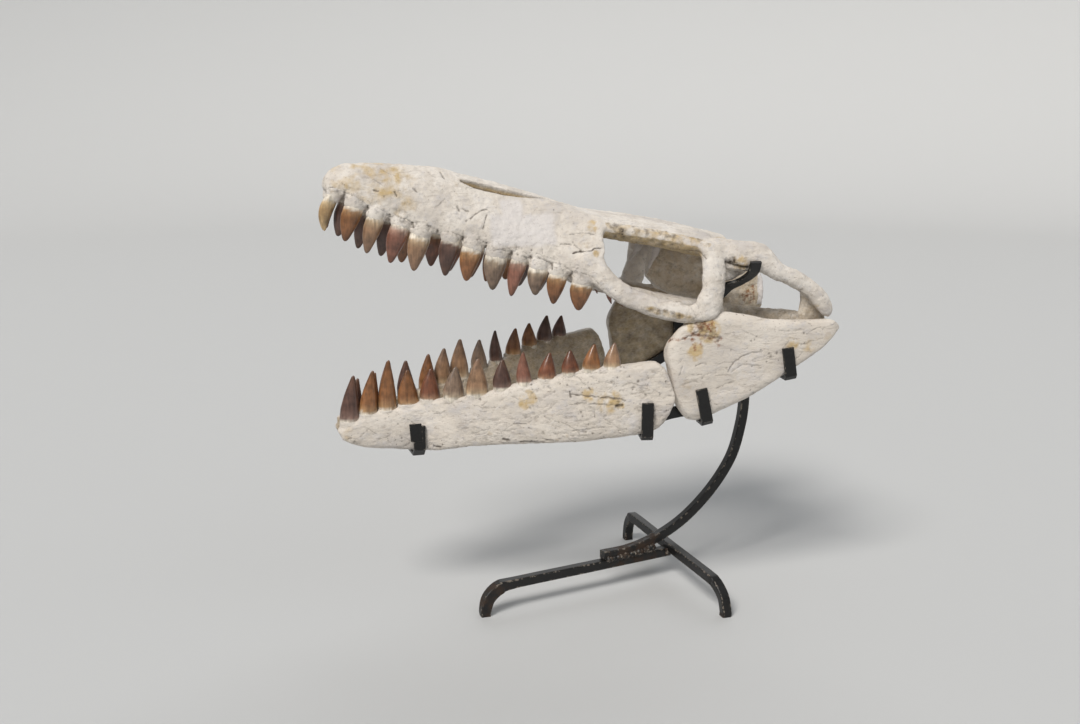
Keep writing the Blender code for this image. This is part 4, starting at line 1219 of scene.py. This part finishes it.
def makeBars():
    square = barSection(stand["bar"], stand["bar"], stand["barCorner"])
    strip = barSection(stand["stripWidth"], stand["stripThick"], stand["stripCorner"])
    crossbar = [(162, -154, 0), (162, -154, 8), (160, -150, 25), (156, -137, 39), (152, -118, 44),
                (crossbarX, 0, 44), (145, 118, 44), (146, 137, 39), (147, 150, 25), (147, 154, 8),
                (147, 154, 0)]
    leg = [standPlane(*p) for p in ((-135, 0), (-135, 8), (-130, 23), (-116, 34), (-94, 37), (20, 37),
                                    (147, 37))]
    upright = [standPlane(*p) for p in ((40, 49.8), (82, 50.3), (126, 60), (172, 81), (216, 116), (249, 158),
                                        (264, 202), (269, 240), (266, 276), (255, 303), (242, 321))]
    ironBar("crossbarIron", "stand_crossbar", crossbar, 110, square, (1, 0, 0))
    ironBar("legIron", "stand_leg", leg, 90, square, (0, 1, 0), ((0, 1), (0.3, 1.2), (0.5, 1.25), (0.68, 1)))
    ironBar("uprightIron", "stand_upright", upright, 110, square, (0, 1, 0))
    for (name, side), (footX, y, z) in zip(sides, ((150, 110.4, 290), (205, 114.4, 314))):
        lean = stand["hookX"] - footX
        path = [(footX, y, z), (footX, y, 336), (footX, y, 390), (footX + 0.18 * lean, 110.5, 411),
                (footX + 0.49 * lean, 112, 424), (footX + 0.8 * lean, 118.5, 431),
                (footX + 0.95 * lean, 129, 438), (stand["hookX"], 142, 447.5), (stand["hookX"], 148, 460)]
        path = [(x, side * y, z) for x, y, z in path]
        ironBar("skullStrapIron_" + name, "stand_skull_strap_" + name, path, 70, strip, (1, 0, 0))


def bevelled(name, bm, *stoodFor):
    # a flat-sided iron piece with its sharp edges eased and marked as worn
    wear = bm.loops.layers.float_color.new("wear")
    sharp = [edge for edge in bm.edges if len(edge.link_faces) == 2 and edge.calc_face_angle() > radians(25)]
    eased = set(bmesh.ops.bevel(bm, geom=sharp, affect="EDGES", offset=stand["eased"], segments=2,
                                profile=0.5, material=-1, clamp_overlap=True)["faces"])
    for face in bm.faces:
        for loop in face.loops:
            loop[wear] = (1.0 if face in eased else 0.0, rustAt(loop.vert.co), 0, 1)
    finishPiece(name, bm, iron, "painted_iron", *stoodFor, smooth=False)


def makeStrips():
    # the clips, the cradle, the rails and the crossbeam keep their CAD shape, with eased edges
    for nodeName, node in nodes.items():
        words = nodeName.split("_")
        if words[0] != "stand" or words[1] in ("crossbar", "leg", "upright", "skull"):
            continue
        bm = bmesh.new()
        bm.from_mesh(node.data)
        bmesh.ops.transform(bm, matrix=node.matrix_world, verts=bm.verts)
        toSkull(bm)
        bmesh.ops.remove_doubles(bm, verts=bm.verts, dist=0.01)
        bmesh.ops.dissolve_limit(bm, angle_limit=radians(0.5), verts=bm.verts, edges=bm.edges)
        bevelled(words[1] + "".join(word.capitalize() for word in words[2:]) + "Iron", bm, nodeName)


def makePlates():
    # a second plate lapped over each arm of the cradle, with one rivet
    for name, side in sides:
        bm = bmesh.new()
        bmesh.ops.create_cube(bm, size=1.0)
        bmesh.ops.scale(bm, verts=bm.verts, vec=(15.5, 3.0, 23.0))
        for vert in bm.verts:                               # its top leans forwards a little
            vert.co.x -= 0.08 * vert.co.z
        bmesh.ops.translate(bm, verts=bm.verts, vec=(-216.5, side * 36.9, 246.5))
        bevelled("cradlePlateIron_" + name, bm)
        bm = bmesh.new()
        bmesh.ops.create_uvsphere(bm, u_segments=20, v_segments=12, radius=2.6)
        bmesh.ops.scale(bm, verts=bm.verts, vec=(1, 0.55, 1))
        bmesh.ops.translate(bm, verts=bm.verts, vec=(-213.5, side * 35.4, 231.5))
        finishPiece("cradleRivet_" + name, bm, steel, "painted_iron")


def makeWelds():
    # rough beads where the bars are welded: along both sides of the upright's lap, and at the joints
    seams = []
    for side in (-1, 1):
        lap = [standPlane(*place) for place in ((43, 43.6), (66, 44.0), (90, 45.2), (112, 48.0), (122, 50.5))]
        lap = [(x, y + side * 5.4, z) for x, y, z in lap]
        x, y, z = standPlane(141, 37)
        foot = [(x, y + side * 6.4, z - 4), (x + 0.6, y + side * 6.6, z + 1), (x, y + side * 6.2, z + 6)]
        beam = [(239 + side * 6.2, 12, 319.6), (239 + side * 6.4, 19, 319.3), (239 + side * 6.2, 26, 319.6)]
        seams += [(lap, ((0, 3.6), (0.5, 4.4), (0.8, 5.2), (1, 3.4)), 130), (foot, ((0, 2.2), (1, 2.6)), 22),
                  (beam, ((0, 2.0), (0.5, 2.6), (1, 2.0)), 26)]
    bm = bmesh.new()
    wear = bm.verts.layers.float_color.new("wear")
    for path, size, count in seams:
        lumps = []
        for k in range(count):
            t = k / (count - 1)
            bead = 0.75 + 0.38 * abs(sin(0.42 * k)) ** 0.6 + 0.35 * rough(pathPoint(path, t), 5, 2, 5.0)
            lumps.append((t, curveValue(size, t) * bead))
        loftThrough(bm, ringsAlong(path, count, ovalSection(lumps, lumps, 14, 0.05)))
    for vert in bm.verts:
        vert[wear] = (0.9, 0.9 + 0.9 * rough(vert.co, 6, 2, 2.0), 0, 1)
    finishPiece("weldBeads", bm, iron, "painted_iron")


makeBars()
makeStrips()
makePlates()
makeWelds()
for nodeName, node in nodes.items():
    if nodeName.startswith("stand_"):
        node.data.materials.clear()
        node.data.materials.append(iron)
print("stand done")


# floor, light and camera

studio = {"flat": 5.0, "bend": 2.4, "wall": 1.6,              # metres
          "paper": "#c2c3c3", "air": "#dfe3e8", "airStrength": 0.38,
          # each lamp: strength, width in degrees, place it shines from, tint
          "lamps": {"keyLight": (2.7, 20, (-1.0, -1.0, 1.5), "#fffbf6"),
                    "fillLight": (0.3, 60, (1.2, -1.0, 0.8), "#ffffff"),
                    "rimLight": (0.8, 50, (0.8, 1.3, 1.1), "#ffffff")}}
viewpoint = {"place": (-0.5195, -1.531, 0.660), "turn": (radians(78), 0, radians(-17.5)), "lens": 41.67,
             "sensor": 36.0}


def makeBowl():
    # a pale paper bowl: flat under the stand, then curving up all round so that no edge shows
    flat, bend, wall = studio["flat"], studio["bend"], studio["wall"]
    bm = bmesh.new()
    bmesh.ops.create_circle(bm, cap_ends=True, segments=96, radius=flat)
    edge = bm.edges[:]
    turns = [pi / 32 * k for k in range(17)]
    levels = [(flat + bend * sin(turn), bend * (1 - cos(turn))) for turn in turns]
    levels.append((flat + bend, bend + wall))
    for (wide, high), (wider, higher) in zip(levels, levels[1:]):
        grown = bmesh.ops.extrude_edge_only(bm, edges=edge)["geom"]
        verts = [item for item in grown if isinstance(item, bmesh.types.BMVert)]
        edge = [item for item in grown if isinstance(item, bmesh.types.BMEdge)]
        bmesh.ops.scale(bm, verts=verts, vec=(wider / wide, wider / wide, 1))
        bmesh.ops.translate(bm, verts=verts, vec=(0, 0, higher - high))
    bmesh.ops.recalc_face_normals(bm, faces=bm.faces)
    bm.faces.ensure_lookup_table()
    if bm.faces[0].normal.z < 0:
        bmesh.ops.reverse_faces(bm, faces=bm.faces)
    mesh = bpy.data.meshes.new("studioBowl")
    bm.to_mesh(mesh)
    bm.free()
    mesh.shade_smooth()
    bowl = bpy.data.objects.new("studioBowl", mesh)
    bpy.context.scene.collection.objects.link(bowl)
    mat, shader = newMaterial("mattePaper")
    shader.inputs["Base Color"].default_value = hexColour(studio["paper"])
    shader.inputs["Roughness"].default_value = 0.9
    mesh.materials.append(mat)


def makeLight():
    scene = bpy.context.scene
    scene.world = bpy.data.worlds.new("studioAir")
    scene.world.use_nodes = True
    air = scene.world.node_tree.nodes["Background"].inputs
    air["Color"].default_value = hexColour(studio["air"])
    air["Strength"].default_value = studio["airStrength"]
    for name, (strength, width, place, tint) in studio["lamps"].items():
        light = bpy.data.lights.new(name, "SUN")
        light.energy = strength
        light.angle = radians(width)
        light.color = hexColour(tint)[:3]
        lamp = bpy.data.objects.new(name, light)
        lamp.location = place
        lamp.rotation_euler = (-Vector(place)).to_track_quat("-Z", "Y").to_euler()
        scene.collection.objects.link(lamp)
    scene.view_settings.view_transform = "Standard"


def makeCamera():
    view = bpy.data.cameras.new("viewCamera")
    view.lens = viewpoint["lens"]
    view.sensor_width = viewpoint["sensor"]
    camera = bpy.data.objects.new("viewCamera", view)
    camera.location = viewpoint["place"]
    camera.rotation_euler = viewpoint["turn"]
    bpy.context.scene.collection.objects.link(camera)
    bpy.context.scene.camera = camera


makeBowl()
makeLight()
makeCamera()
